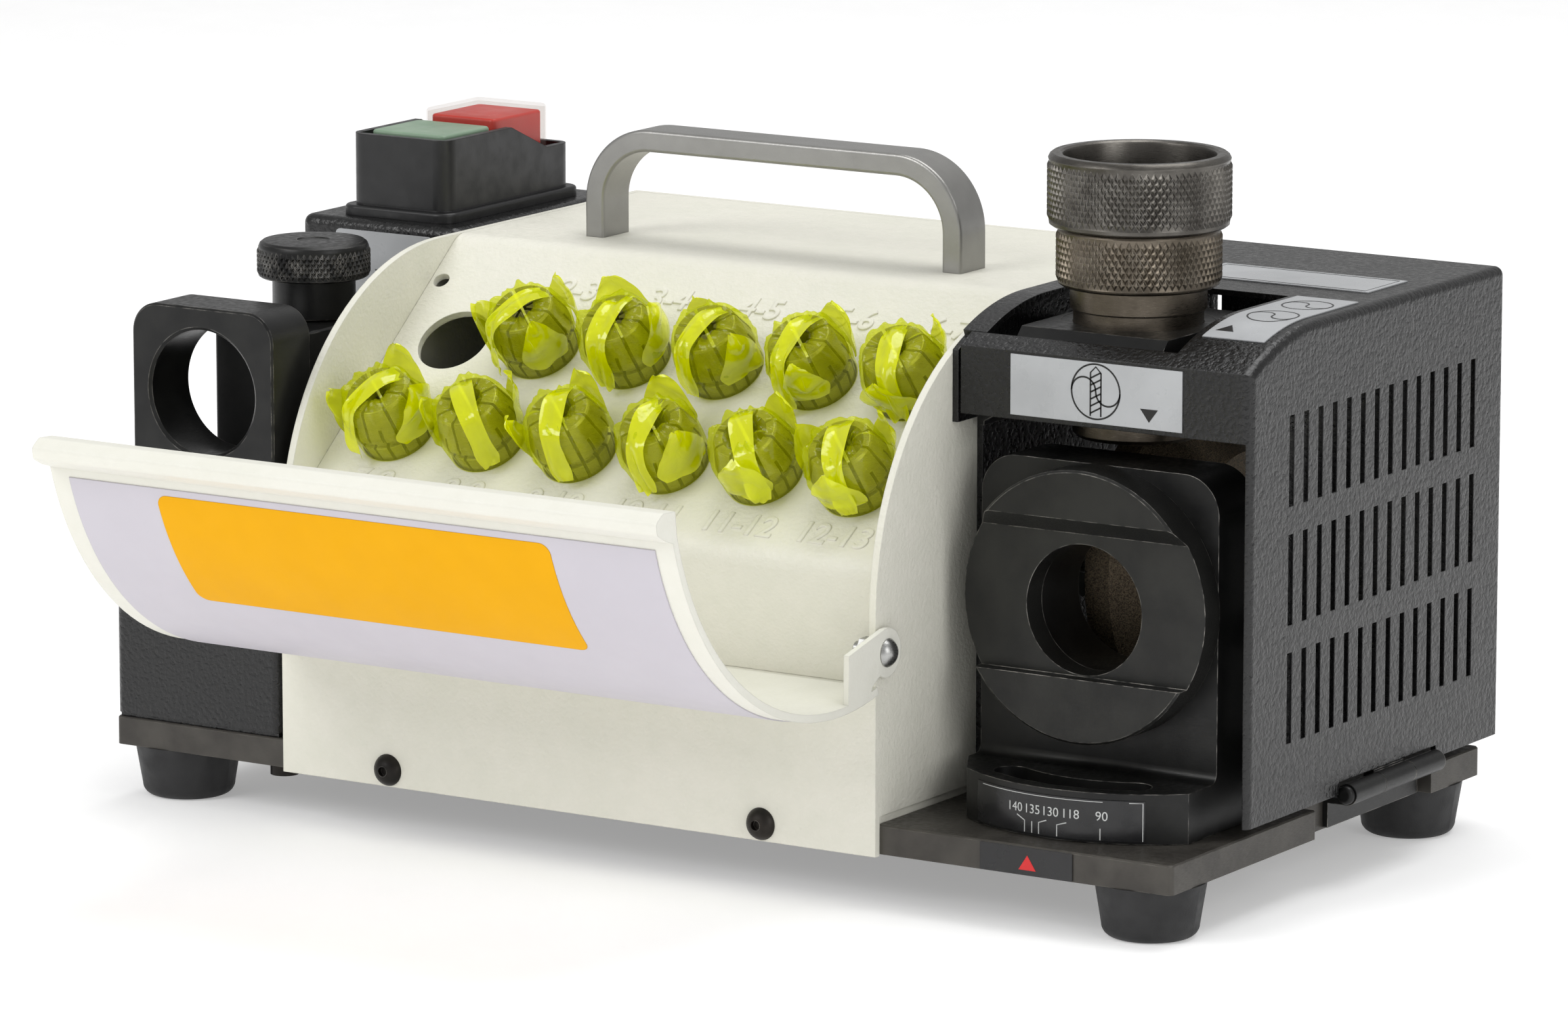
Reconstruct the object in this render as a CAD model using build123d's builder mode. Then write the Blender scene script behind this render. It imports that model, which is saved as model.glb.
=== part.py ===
from build123d import *
import os
from math import asin, cos, degrees, radians, sin, tan

# Bench drill bit sharpener.  Millimetres, +Z up, front is -Y, +X to the right.
# The origin is the middle of the base plate's footprint, on the floor.

os.makedirs("parts", exist_ok=True)

# ---- driving dimensions ---------------------------------------------------
PLATE_L = 320.0
PLATE_W = 160.0
PLATE_BOTTOM = 14.0
PLATE_TOP = 21.5
PLATE_CORNER = 1.5
FOOT_X = 146.5
FOOT_Y = 66.5
FOOT_R_TOP = 14.0
FOOT_R_BOTTOM = 12.2
FOOT_EDGE = 3.0
FOOT_SCREW_R = 3.0
HINGE_RECESS = (156.0, -8.0, 53.5)
PLATE_SCREW = (-112.0, -71.0)
TAP_R = 2.0

SHEET = 2.0
HOUSING_X0 = -104.5
HOUSING_X1 = 76.5
HOUSING_FRONT = -82.0
HOUSING_REAR = 85.0
HOUSING_TOP = 144.4
WALL_BOTTOM = 23.5
PANEL_BOTTOM = 13.5
PANEL_TOP = 55.7
RIM_Y = -11.6
RIM_Z = 74.0
RIM_R = 70.4
PANEL_SCREW_X = (-71.3, 42.7)
PANEL_SCREW_Z = 17.9

TRAY_SLOPE = 39.0
TRAY_Y0 = -66.6
TRAY_Z0 = 93.3
TRAY_FACE_Y = -76.0
TRAY_BEND = 6.0
TRAY_GAP = 0.1
HOLE_PITCH = 28.2
HOLE_X0 = -84.6
HOLE_R = 10.1
ROW_LOW = 12.5
ROW_HIGH = 45.0
VENT_HOLE = (-99.1, 64.7, 2.3)

LID_X0 = -106.4
LID_X1 = 78.6
LID_PIVOT_Y = -79.7
LID_PIVOT_Z = 65.3
LID_C = (-102.9, 129.3)
LID_R = 76.2
LID_START = 190.0
LID_SWEEP = 94.4
EAR = 1.6
EAR_R = 6.2
PIVOT_R = 2.0
RUN = 0.1
LABEL_T = 0.3
LID_LABEL_START = 197.3
LID_LABEL_SWEEP = 64.7
LID_LABEL_EDGE = 5.5

HANDLE_X0 = -72.0
HANDLE_X1 = 44.0
HANDLE_Y0 = 11.2
HANDLE_Y1 = 24.0
HANDLE_TOP = 174.1
HANDLE_BAR = 5.8
HANDLE_R = 20.0
HANDLE_SCREW_R = 1.9

CASE_X0 = -160.0
CASE_X1 = -107.0
CASE_FRONT = -80.0
CASE_REAR = 1.5
CASE_TOP = 78.0
BLOCK_X = (-153.0, -108.0)
BLOCK_Y = (-80.0, -63.5)
BLOCK_TOP = 132.8
SET_BORE = (-130.7, 110.4)
PORT_R = 16.5
CHUCK_R = 16.4
POST_X = (-145.2, -116.2)
POST_Y = (-54.5, -12.0)
POST_TOP = 123.7
KNOB_AT = (-130.5, -30.0)
KNOB_R = 15.0
KNOB_Z0 = 134.4
KNOB_Z1 = 144.1
STEM_R = 11.0
SPINDLE_R = 6.0

BOX_X0 = -158.0
BOX_X1 = -106.5
BOX_Y0 = 2.0
BOX_Y1 = 80.0
HOOD_X = (-146.5, -114.9)
HOOD_Y = (9.0, 69.0)
HOOD_FLANGE = 2.2
HOOD_Z1 = 147.2
HOOD_TOP = 166.4
HOOD_LOW = 159.0
BUTTON_X = (-142.7, -118.7)
GREEN_Y = (13.5, 36.0)
RED_Y = (38.0, 64.0)
GREEN_TOP = 167.0
RED_TOP = 170.0
GLAND_AT = (-132.0, 45.0)
GLAND_R = 8.0
BLOCK_GAP = 0.4
CONTACT_X = (-144.0, -117.4)
CONTACT_Y = (11.6, 66.4)
CONTACT_Z = (118.0, 150.0)
BUTTON_STEM_R = 3.0
WIRE_HOLE = (50.0, 70.0, 7.0)

COVER_X0 = 79.2
COVER_X1 = 162.0
COVER_T = 1.5
COVER_FRONT = -46.5
COVER_REAR = 86.5
COVER_BOTTOM = 24.0
COVER_C = (-11.6, 73.7)
COVER_R = 73.0
STRIP_BOTTOM = 120.5
STRIP_LABEL = ((93.8, 142.8), (121.7, 137.0))
TOP_LABEL = ((100.0, 153.0), (29.0, 50.0))
SIDE_LABEL_X = (140.5, 158.0)
SIDE_LABEL_Y = (-33.0, 15.0)
DIAL_STICKER = ((-146.0, -114.6), (112.0, 141.6))
PLATE_STICKER_X = (106.0, 132.0)
OPENING_X = (83.5, 138.3)
OPENING_Y = (-41.2, 14.8)
SLOT_PITCH = 7.3
SLOT_W = 2.5
SLOT_H = 22.9
SLOT_ROW = 29.9
SLOT_Z = 83.55
BULKHEAD_X1 = 78.2
BULKHEAD_NOTCH = (-34.0, 118.0)

HINGE_X = 163.0
HINGE_Z = 23.7
HINGE_R = 2.8
HINGE_Y = (3.0, 50.5)

SWIVEL = (119.0, -22.0)
SWIVEL_R = 48.7
SWIVEL_Z0 = 21.6
SWIVEL_Z1 = 34.3
PORT_X = (84.0, 152.0)
PORT_Y = (-44.0, -26.0)
PORT_TOP = 111.0
PORT_BORE = (118.0, 75.5)
DISC_C = (118.0, 76.6)
DISC_R = 34.5
DISC_FRONT = -55.0
DISC_RECESS = 3.7
DISC_CHANNEL = 36.0
GUIDE_R = 40.0
GUIDE_SWEEP = 52.0
SCALE_START = 242.0
SCALE_SWEEP = 58.0
SCALE_H = 10.4
PIVOT_STUD_R = 5.0
GUIDE_STUD_R = 3.0
STUD_BOTTOM = 16.0

TOP_PLATE_X = (90.0, 132.0)
TOP_PLATE_Y = (-37.5, 12.0)
TOP_PLATE_Z = (136.0, 142.0)
CHUCK_AT = (110.5, -12.5)
CHUCK_Z0 = 113.0
CHUCK_COLLAR = (17.2, 145.2, 151.2)
CHUCK_LOWER_RING = (20.85, 151.2, 166.0)
CHUCK_NECK = (17.9, 173.0)
CHUCK_BORE = 7.0
CHUCK_CONE = ((10.8, CHUCK_Z0 - 1), (7.2, 139.0))
NUT_RING = (23.15, 166.2, 184.5)
NUT_BORES = ((18.0, 174.4), (19.1, 186.0))
BUSH_R = 19.4
SHELF_Y = (-36.8, 11.8)
SHELF_X1 = 138.0
SHELF_Z0 = 131.0
GUSSET_T = 2.5
GUSSET_Z0 = 116.0
GUSSET_X1 = 104.0
SHAFT_PASS_R = 14.0

MOTOR_Y = 22.0
MOTOR_Z = 75.5
MOTOR_R = 46.0
MOTOR_BORE = 43.0
MOTOR_X = (-74.0, 48.0)
MOTOR_FOOT_X = (-55.0, 28.0)
STATOR_X = (-50.0, 20.0)
STATOR_BORE = 26.0
WINDING_R = (29.0, 40.0)
WINDING_L = 13.0
CORE_X = (-48.0, 18.0)
CORE_R = 25.5
SHIELDS = (
    # plate, hub, bearing pocket and shaft hole, each from one X to another
    ((-79.0, -74.0), (-79.0, -65.0), (-78.0, -64.0), (-80.0, -77.0)),
    ((48.0, 53.0), (40.0, 56.0), (39.0, 55.0), (54.0, 57.0)),
)
HUB_R = 22.0
BEARINGS_X = ((-78.0, -67.0), (44.0, 55.0))
BEARING_R = 17.5
SHAFT_HOLE_R = 9.0
SHAFT_R = 7.5
SHAFT_END = -96.0
FAN_X = (-94.0, -82.0)
FAN_R = 36.0
FAN_BLADES = 8
WHEEL_R = 39.0
WHEEL_X = (98.0, 122.0)
WHEEL_BORE = 6.3
WHEEL_RIM = 7.0
WHEEL_FACE = (16.0, 28.8)
WHEEL_RECESS = 4.0

COLLET_TAIL = (7.4, -17.0)
COLLET_BAND = (10.2, 4.6)
COLLET_GROOVE = (9.2, 5.0, 6.4)
COLLET_HEAD = (10.5, 6.8, 8.6)
COLLET_NOSE = (8.0, 16.0)
COLLET_SLOTS = 8
COLLET_SLOT_W = 0.9
COLLET_UPPER_SLOT = -3.0
COLLET_LOWER_SLOT = 11.0

COLLETS = (
    ("collet_02_03", 1, ROW_HIGH, 2.0),
    ("collet_03_04", 2, ROW_HIGH, 3.0),
    ("collet_04_05", 3, ROW_HIGH, 4.0),
    ("collet_05_06", 4, ROW_HIGH, 5.0),
    ("collet_06_07", 5, ROW_HIGH, 6.0),
    ("collet_07_08", 0, ROW_LOW, 7.0),
    ("collet_08_09", 1, ROW_LOW, 8.0),
    ("collet_09_10", 2, ROW_LOW, 9.0),
    ("collet_10_11", 3, ROW_LOW, 10.0),
    ("collet_11_12", 4, ROW_LOW, 11.0),
    ("collet_12_13", 5, ROW_LOW, 12.0),
)

TRAY = Plane(
    origin=(0, TRAY_Y0, TRAY_Z0),
    x_dir=(1, 0, 0),
    z_dir=(0, -sin(radians(TRAY_SLOPE)), cos(radians(TRAY_SLOPE))),
)


# ---- helpers --------------------------------------------------------------
def keep(builder, label):
    """Name a finished sub-part and write its STEP file."""
    builder.part.label = label
    export_step(builder.part, "parts/" + label + ".step")


def slab(xs, ys, zs, mode=Mode.ADD):
    """A rectangular block between three pairs of coordinates."""
    with Locations(((xs[0] + xs[1]) / 2, (ys[0] + ys[1]) / 2, (zs[0] + zs[1]) / 2)):
        Box(xs[1] - xs[0], ys[1] - ys[0], zs[1] - zs[0], mode=mode)


def rod_x(y, z, r, xs, mode=Mode.ADD):
    """A round bar parallel to X."""
    with Locations(((xs[0] + xs[1]) / 2, y, z)):
        Cylinder(r, xs[1] - xs[0], rotation=(0, 90, 0), mode=mode)


def rod_y(x, z, r, ys, mode=Mode.ADD):
    """A round bar parallel to Y."""
    with Locations((x, (ys[0] + ys[1]) / 2, z)):
        Cylinder(r, ys[1] - ys[0], rotation=(90, 0, 0), mode=mode)


def rod_z(x, y, r, zs, mode=Mode.ADD):
    """A round bar parallel to Z."""
    with Locations((x, y, (zs[0] + zs[1]) / 2)):
        Cylinder(r, zs[1] - zs[0], mode=mode)


def upright_plane(x, y):
    """A plane for profiles turned about a vertical axis: local x outward, local y up."""
    return Plane(origin=(x, y, 0), x_dir=(1, 0, 0), z_dir=(0, -1, 0))


# ---- base plate and feet --------------------------------------------------
def make_base_plate():
    with BuildPart() as plate:
        slab((-PLATE_L / 2, PLATE_L / 2), (-PLATE_W / 2, PLATE_W / 2), (PLATE_BOTTOM, PLATE_TOP))
        fillet(plate.edges().filter_by(Axis.Z), PLATE_CORNER)
        chamfer(plate.faces().sort_by(Axis.Z)[-1].edges(), 0.4)
        x0, y0, y1 = HINGE_RECESS
        slab((x0, x0 + 6), (y0, y1), (PLATE_BOTTOM - 1, PLATE_TOP + 1), Mode.SUBTRACT)
        for x in (-FOOT_X, FOOT_X):
            for y in (-FOOT_Y, FOOT_Y):
                rod_z(x, y, FOOT_SCREW_R, (PLATE_BOTTOM - 1, 19.6), Mode.SUBTRACT)
        for x in PANEL_SCREW_X:
            rod_y(x, PANEL_SCREW_Z, TAP_R, (-PLATE_W / 2 - 1, -68), Mode.SUBTRACT)
        rod_z(*PLATE_SCREW, TAP_R, (PLATE_BOTTOM - 1, 20), Mode.SUBTRACT)
        rod_z(*SWIVEL, PIVOT_STUD_R, (STUD_BOTTOM, PLATE_TOP + 1), Mode.SUBTRACT)
        rod_z(SWIVEL[0], SWIVEL[1] - GUIDE_R, GUIDE_STUD_R, (STUD_BOTTOM, PLATE_TOP + 1), Mode.SUBTRACT)
    keep(plate, "base_plate")


def make_feet():
    with BuildPart() as feet:
        for x in (-FOOT_X, FOOT_X):
            for y in (-FOOT_Y, FOOT_Y):
                with BuildSketch(upright_plane(x, y)):
                    with BuildLine():
                        Polyline(
                            (FOOT_R_BOTTOM - FOOT_EDGE, 0), (6, 0), (6, 5.5), (3.2, 5.5),
                            (3.2, PLATE_BOTTOM), (FOOT_R_TOP, PLATE_BOTTOM), (FOOT_R_BOTTOM, FOOT_EDGE),
                        )
                        RadiusArc((FOOT_R_BOTTOM, FOOT_EDGE), (FOOT_R_BOTTOM - FOOT_EDGE, 0), FOOT_EDGE)
                    make_face()
                revolve(axis=Axis((x, y, 0), (0, 0, 1)))
    keep(feet, "rubber_feet")
    with BuildPart() as screws:
        for x in (-FOOT_X, FOOT_X):
            for y in (-FOOT_Y, FOOT_Y):
                rod_z(x, y, 5.0, (2.5, 5.5))
                rod_z(x, y, 3.0, (5.5, 19.5))
                rod_z(x, y, 1.6, (2.4, 4.0), Mode.SUBTRACT)
    keep(screws, "foot_screws")


# ---- main housing ---------------------------------------------------------
def make_housing():
    with BuildPart() as housing:
        for x in (HOUSING_X0, HOUSING_X1 - SHEET):
            with BuildSketch(Plane.YZ.offset(x)):
                with BuildLine():
                    Polyline(
                        (HOUSING_FRONT, RIM_Z), (HOUSING_FRONT, WALL_BOTTOM), (HOUSING_REAR, WALL_BOTTOM),
                        (HOUSING_REAR, HOUSING_TOP), (RIM_Y, HOUSING_TOP),
                    )
                    CenterArc((RIM_Y, RIM_Z), RIM_R, 90, 90)
                make_face()
            extrude(amount=SHEET)
        inner = (HOUSING_X0 + SHEET - 0.5, HOUSING_X1 - SHEET + 0.5)
        slab(inner, (HOUSING_REAR - SHEET, HOUSING_REAR), (WALL_BOTTOM, HOUSING_TOP))
        front = (HOUSING_FRONT, HOUSING_FRONT + SHEET)
        slab((HOUSING_X0, HOUSING_X1), front, (PANEL_BOTTOM, PANEL_TOP))
        slab(inner, (HOUSING_FRONT, TRAY_FACE_Y + SHEET), (PANEL_TOP - SHEET, PANEL_TOP))
        for xs in ((HOUSING_X0 + 0.5, -90), (62, HOUSING_X1 - 0.5)):
            slab(xs, (-79.9, 79.5), (PLATE_TOP, WALL_BOTTOM + 0.1))
        for xs in ((HOUSING_X0 + 1, -97), (69, HOUSING_X1 - 1)):
            slab(xs, (20, 60), (HOUSING_TOP - 2 * SHEET, HOUSING_TOP - SHEET))
        rod_x(LID_PIVOT_Y, LID_PIVOT_Z, PIVOT_R, (HOUSING_X0 - 1, HOUSING_X1 + 1), Mode.SUBTRACT)
        rod_x(MOTOR_Y, MOTOR_Z, SHAFT_PASS_R, (HOUSING_X1 - 4, HOUSING_X1 + 1), Mode.SUBTRACT)
        rod_x(*WIRE_HOLE, (HOUSING_X0 - 1, HOUSING_X0 + 4), Mode.SUBTRACT)
        for x in PANEL_SCREW_X:
            rod_y(x, PANEL_SCREW_Z, TAP_R, (HOUSING_FRONT - 1, -79), Mode.SUBTRACT)
    keep(housing, "main_housing")


def make_tray():
    slope = tan(radians(TRAY_SLOPE))
    top_y = TRAY_Y0 + (HOUSING_TOP - TRAY_Z0) / slope
    low_z = TRAY_Z0 + (TRAY_FACE_Y - TRAY_Y0) * slope
    half_top = tan(radians(TRAY_SLOPE / 2))
    half_low = tan(radians((90 - TRAY_SLOPE) / 2))
    outer = [
        (TRAY_FACE_Y, PANEL_TOP + 0.05), (TRAY_FACE_Y, low_z), (top_y, HOUSING_TOP),
        (HOUSING_REAR - SHEET - TRAY_GAP, HOUSING_TOP),
    ]
    inner = [
        (HOUSING_REAR - SHEET - TRAY_GAP, HOUSING_TOP - SHEET), (top_y + SHEET * half_top, HOUSING_TOP - SHEET),
        (TRAY_FACE_Y + SHEET, low_z - SHEET * half_low), (TRAY_FACE_Y + SHEET, PANEL_TOP + 0.05),
    ]
    with BuildPart() as tray:
        with BuildSketch(Plane.YZ.offset(HOUSING_X0 + SHEET + TRAY_GAP)) as profile:
            with BuildLine():
                Polyline(*outer, *inner, close=True)
            make_face()
            corners = profile.vertices()
            fillet(corners.sort_by_distance((TRAY_FACE_Y, low_z, 0))[0], TRAY_BEND + SHEET)
            corners = profile.vertices()
            spot = (TRAY_FACE_Y + SHEET, low_z - SHEET * half_low, 0)
            fillet(corners.sort_by_distance(spot)[0], TRAY_BEND)
            corners = profile.vertices()
            fillet(corners.sort_by_distance((top_y, HOUSING_TOP, 0))[0], TRAY_BEND + SHEET)
            corners = profile.vertices()
            spot = (top_y + SHEET * half_top, HOUSING_TOP - SHEET, 0)
            fillet(corners.sort_by_distance(spot)[0], TRAY_BEND)
        extrude(amount=HOUSING_X1 - HOUSING_X0 - 2 * SHEET - 2 * TRAY_GAP)
        with BuildSketch(TRAY):
            for row in (ROW_LOW, ROW_HIGH):
                with Locations(*[(HOLE_X0 + k * HOLE_PITCH, row) for k in range(6)]):
                    Circle(HOLE_R)
            with Locations(VENT_HOLE[:2]):
                Circle(VENT_HOLE[2])
        extrude(amount=4, both=True, mode=Mode.SUBTRACT)
        for x in (HANDLE_X0 + HANDLE_BAR / 2, HANDLE_X1 - HANDLE_BAR / 2):
            rod_z(x, (HANDLE_Y0 + HANDLE_Y1) / 2, HANDLE_SCREW_R, (140, 146), Mode.SUBTRACT)
    keep(tray, "collet_tray")


def make_panel_screws():
    with BuildPart() as screws:
        for x in PANEL_SCREW_X:
            with BuildSketch(Plane(origin=(x, 0, PANEL_SCREW_Z), x_dir=(1, 0, 0), z_dir=(0, 0, 1))):
                with BuildLine():
                    Polyline((4.2, HOUSING_FRONT), (0, HOUSING_FRONT), (0, HOUSING_FRONT - 2.6))
                    ThreePointArc((0, HOUSING_FRONT - 2.6), (2.6, HOUSING_FRONT - 2.1), (4.2, HOUSING_FRONT))
                make_face()
            revolve(axis=Axis((x, 0, PANEL_SCREW_Z), (0, 1, 0)))
            rod_y(x, PANEL_SCREW_Z, TAP_R, (HOUSING_FRONT, -70))
            rod_y(x, PANEL_SCREW_Z, 1.3, (-85, -83.2), Mode.SUBTRACT)
        rod_z(*PLATE_SCREW, 3.8, (PLATE_BOTTOM - 4, PLATE_BOTTOM))
        rod_z(*PLATE_SCREW, TAP_R, (PLATE_BOTTOM, 19.5))
        rod_z(*PLATE_SCREW, 1.6, (PLATE_BOTTOM - 5, PLATE_BOTTOM - 2), Mode.SUBTRACT)
    keep(screws, "panel_screws")


# ---- front lid ------------------------------------------------------------
def make_lid():
    lip = [
        (-175.4, 116.5), (-180.6, 116.8), (-183.6, 114.8), (-183.2, 111.8), (-179.6, 109.9), (-174.4, 108.2),
    ]
    ear = [
        (-98.0, 54.0), (-97.7, 67.6), (-80.9, LID_PIVOT_Z + EAR_R), (-79.7, 62.0), (-83.0, 60.2),
        (-86.9, 57.9), (-87.5, 55.5),
    ]
    with BuildPart() as lid:
        with BuildSketch(Plane.YZ.offset(LID_X0)):
            with BuildLine():
                outer = CenterArc(LID_C, LID_R, LID_START, LID_SWEEP)
                inner = CenterArc(LID_C, LID_R - SHEET, LID_START, LID_SWEEP)
                Line(outer @ 0, inner @ 0)
                Line(outer @ 1, inner @ 1)
            make_face()
        extrude(amount=LID_X1 - LID_X0)
        with BuildSketch(Plane.YZ.offset(LID_X0)) as roll:
            with BuildLine():
                Polyline(*lip, close=True)
            make_face()
            fillet(roll.vertices().sort_by(Axis.X)[:4], 1.4)
        extrude(amount=LID_X1 - LID_X0)
        for x in (LID_X0, LID_X1 - EAR):
            with BuildSketch(Plane.YZ.offset(x)):
                with BuildLine():
                    Polyline(*ear, close=True)
                make_face()
                with Locations((LID_PIVOT_Y, LID_PIVOT_Z)):
                    Circle(EAR_R)
            extrude(amount=EAR)
        rod_x(LID_PIVOT_Y, LID_PIVOT_Z, PIVOT_R + RUN, (LID_X0 - 1, LID_X1 + 1), Mode.SUBTRACT)
    keep(lid, "front_lid")


def make_lid_label():
    with BuildPart() as label:
        with BuildSketch(Plane.YZ.offset(LID_X0 + LID_LABEL_EDGE)):
            with BuildLine():
                outer = CenterArc(LID_C, LID_R + LABEL_T, LID_LABEL_START, LID_LABEL_SWEEP)
                inner = CenterArc(LID_C, LID_R, LID_LABEL_START, LID_LABEL_SWEEP)
                Line(outer @ 0, inner @ 0)
                Line(outer @ 1, inner @ 1)
            make_face()
        extrude(amount=LID_X1 - LID_X0 - 2 * LID_LABEL_EDGE)
    keep(label, "lid_label")


def make_pivot_screws():
    with BuildPart() as screws:
        for side in (-1, 1):
            ear_out = LID_X1 if side > 0 else LID_X0
            wall_in = HOUSING_X1 - SHEET if side > 0 else HOUSING_X0 + SHEET
            face = ear_out + side * 0.15
            with BuildSketch(Plane(origin=(0, LID_PIVOT_Y, LID_PIVOT_Z), x_dir=(1, 0, 0), z_dir=(0, 0, 1))):
                with BuildLine():
                    Polyline((face, 3.65), (face, 0), (face + side * 2.2, 0))
                    ThreePointArc((face + side * 2.2, 0), (face + side * 1.6, 2.2), (face, 3.65))
                make_face()
            revolve(axis=Axis((0, LID_PIVOT_Y, LID_PIVOT_Z), (1, 0, 0)))
            ends = sorted((face, wall_in - side * 5))
            rod_x(LID_PIVOT_Y, LID_PIVOT_Z, PIVOT_R, ends)
            nut = sorted((wall_in, wall_in - side * 3.2))
            with BuildSketch(Plane.YZ.offset(nut[0])):
                with Locations((LID_PIVOT_Y, LID_PIVOT_Z)):
                    RegularPolygon(3.6, 6)
            extrude(amount=3.2)
    keep(screws, "lid_pivot_screws")


# ---- carrying handle ------------------------------------------------------
def make_handle():
    mid_y = (HANDLE_Y0 + HANDLE_Y1) / 2
    leg_x = (HANDLE_X0 + HANDLE_BAR / 2, HANDLE_X1 - HANDLE_BAR / 2)
    with BuildPart() as handle:
        with BuildSketch(Plane.XZ.offset(-HANDLE_Y1)) as outline:
            with Locations(((HANDLE_X0 + HANDLE_X1) / 2, (HOUSING_TOP + HANDLE_TOP) / 2)):
                Rectangle(HANDLE_X1 - HANDLE_X0, HANDLE_TOP - HOUSING_TOP)
            fillet(outline.vertices().group_by(Axis.Y)[-1], HANDLE_R)
        extrude(amount=HANDLE_Y1 - HANDLE_Y0)
        with BuildSketch(Plane.XZ.offset(-HANDLE_Y1 - 1)) as inside:
            low = HOUSING_TOP - 5
            high = HANDLE_TOP - HANDLE_BAR
            with Locations(((HANDLE_X0 + HANDLE_X1) / 2, (low + high) / 2)):
                Rectangle(HANDLE_X1 - HANDLE_X0 - 2 * HANDLE_BAR, high - low)
            fillet(inside.vertices().group_by(Axis.Y)[-1], HANDLE_R - HANDLE_BAR)
        extrude(amount=HANDLE_Y1 - HANDLE_Y0 + 2, mode=Mode.SUBTRACT)
        sides = handle.faces().filter_by(Axis.Y).edges().filter_by_position(Axis.Z, HOUSING_TOP + 1, 200)
        fillet(sides, 0.9)
        for x in leg_x:
            rod_z(x, mid_y, HANDLE_SCREW_R, (140, HOUSING_TOP + 11.6), Mode.SUBTRACT)
    keep(handle, "carry_handle")
    with BuildPart() as screws:
        for x in leg_x:
            rod_z(x, mid_y, HANDLE_SCREW_R, (HOUSING_TOP - SHEET, HOUSING_TOP + 11.1))
            rod_z(x, mid_y, 4.0, (HOUSING_TOP - SHEET - 3.2, HOUSING_TOP - SHEET))
    keep(screws, "handle_screws")


# ---- left column: case, setting block, stop post, knob --------------------
def make_left_case():
    with BuildPart() as case:
        slab((CASE_X0, CASE_X1), (CASE_FRONT, CASE_REAR), (PLATE_TOP + 1.1, CASE_TOP))
        fillet(case.edges().filter_by(Axis.Z), 2.5)
        fillet(case.faces().sort_by(Axis.Z)[-1].edges(), 1.2)
        slab((CASE_X0 + 1, CASE_X1 - 1), (CASE_FRONT + 1, CASE_REAR - 1), (PLATE_TOP, PLATE_TOP + 2))
        slab(
            (CASE_X0 + SHEET, CASE_X1 - SHEET), (CASE_FRONT + SHEET, CASE_REAR - SHEET),
            (PLATE_TOP - 1, CASE_TOP - SHEET), Mode.SUBTRACT,
        )
        rod_x(LID_PIVOT_Y, LID_PIVOT_Z, 5.0, (CASE_X1 - SHEET - 1.6, CASE_X1 + 1), Mode.SUBTRACT)
    keep(case, "left_case")


def make_setting_block():
    with BuildPart() as block:
        slab(BLOCK_X, BLOCK_Y, (CASE_TOP, BLOCK_TOP))
        fillet(block.faces().sort_by(Axis.Z)[-1].edges().filter_by(Axis.Y), 8.0)
        chamfer(block.faces().sort_by(Axis.Y)[0].edges().filter_by_position(Axis.Z, CASE_TOP + 1, 200), 0.5)
        rod_y(SET_BORE[0], SET_BORE[1], PORT_R, (BLOCK_Y[0] - 1, BLOCK_Y[1] + 1), Mode.SUBTRACT)
        rim = block.edges().filter_by(GeomType.CIRCLE).group_by(Axis.Y)[0]
        chamfer(rim.sort_by(SortBy.LENGTH)[-1], 0.8)
    keep(block, "setting_block")


def make_stop_post():
    with BuildPart() as post:
        slab(POST_X, POST_Y, (CASE_TOP, POST_TOP))
        fillet(post.edges().filter_by(Axis.Z), 1.0)
        chamfer(post.faces().sort_by(Axis.Z)[-1].edges(), 0.5)
        rod_z(KNOB_AT[0], KNOB_AT[1], SPINDLE_R + 0.05, (CASE_TOP + 8, POST_TOP + 1), Mode.SUBTRACT)
    keep(post, "stop_post")


def make_stop_knob():
    with BuildPart() as knob:
        rod_z(KNOB_AT[0], KNOB_AT[1], KNOB_R, (KNOB_Z0, KNOB_Z1))
        fillet(knob.faces().sort_by(Axis.Z)[-1].edges(), 1.6)
        chamfer(knob.faces().sort_by(Axis.Z)[0].edges(), 0.6)
        rod_z(KNOB_AT[0], KNOB_AT[1], STEM_R, (POST_TOP + 0.1, KNOB_Z0))
        rod_z(KNOB_AT[0], KNOB_AT[1], SPINDLE_R, (CASE_TOP + 9, POST_TOP + 1))
    keep(knob, "stop_knob")


# ---- switch box, hood and buttons -----------------------------------------
def make_switch_box():
    with BuildPart() as box:
        slab((BOX_X0, BOX_X1), (BOX_Y0, BOX_Y1), (PLATE_TOP, HOUSING_TOP))
        fillet(box.edges().filter_by(Axis.Z), 3.5)
        fillet(box.faces().sort_by(Axis.Z)[-1].edges(), 2.5)
        slab(
            (BOX_X0 + SHEET, BOX_X1 - SHEET), (BOX_Y0 + SHEET, BOX_Y1 - SHEET),
            (PLATE_TOP - 1, HOUSING_TOP - SHEET), Mode.SUBTRACT,
        )
        slab(
            (CONTACT_X[0] - BLOCK_GAP, CONTACT_X[1] + BLOCK_GAP), (CONTACT_Y[0] - BLOCK_GAP, CONTACT_Y[1] + BLOCK_GAP),
            (140, 146), Mode.SUBTRACT,
        )
        rod_y(*GLAND_AT, GLAND_R, (BOX_Y1 - 4, BOX_Y1 + 1), Mode.SUBTRACT)
        rod_x(*WIRE_HOLE, (BOX_X1 - 4, BOX_X1 + 1), Mode.SUBTRACT)
    keep(box, "switch_box")


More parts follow.
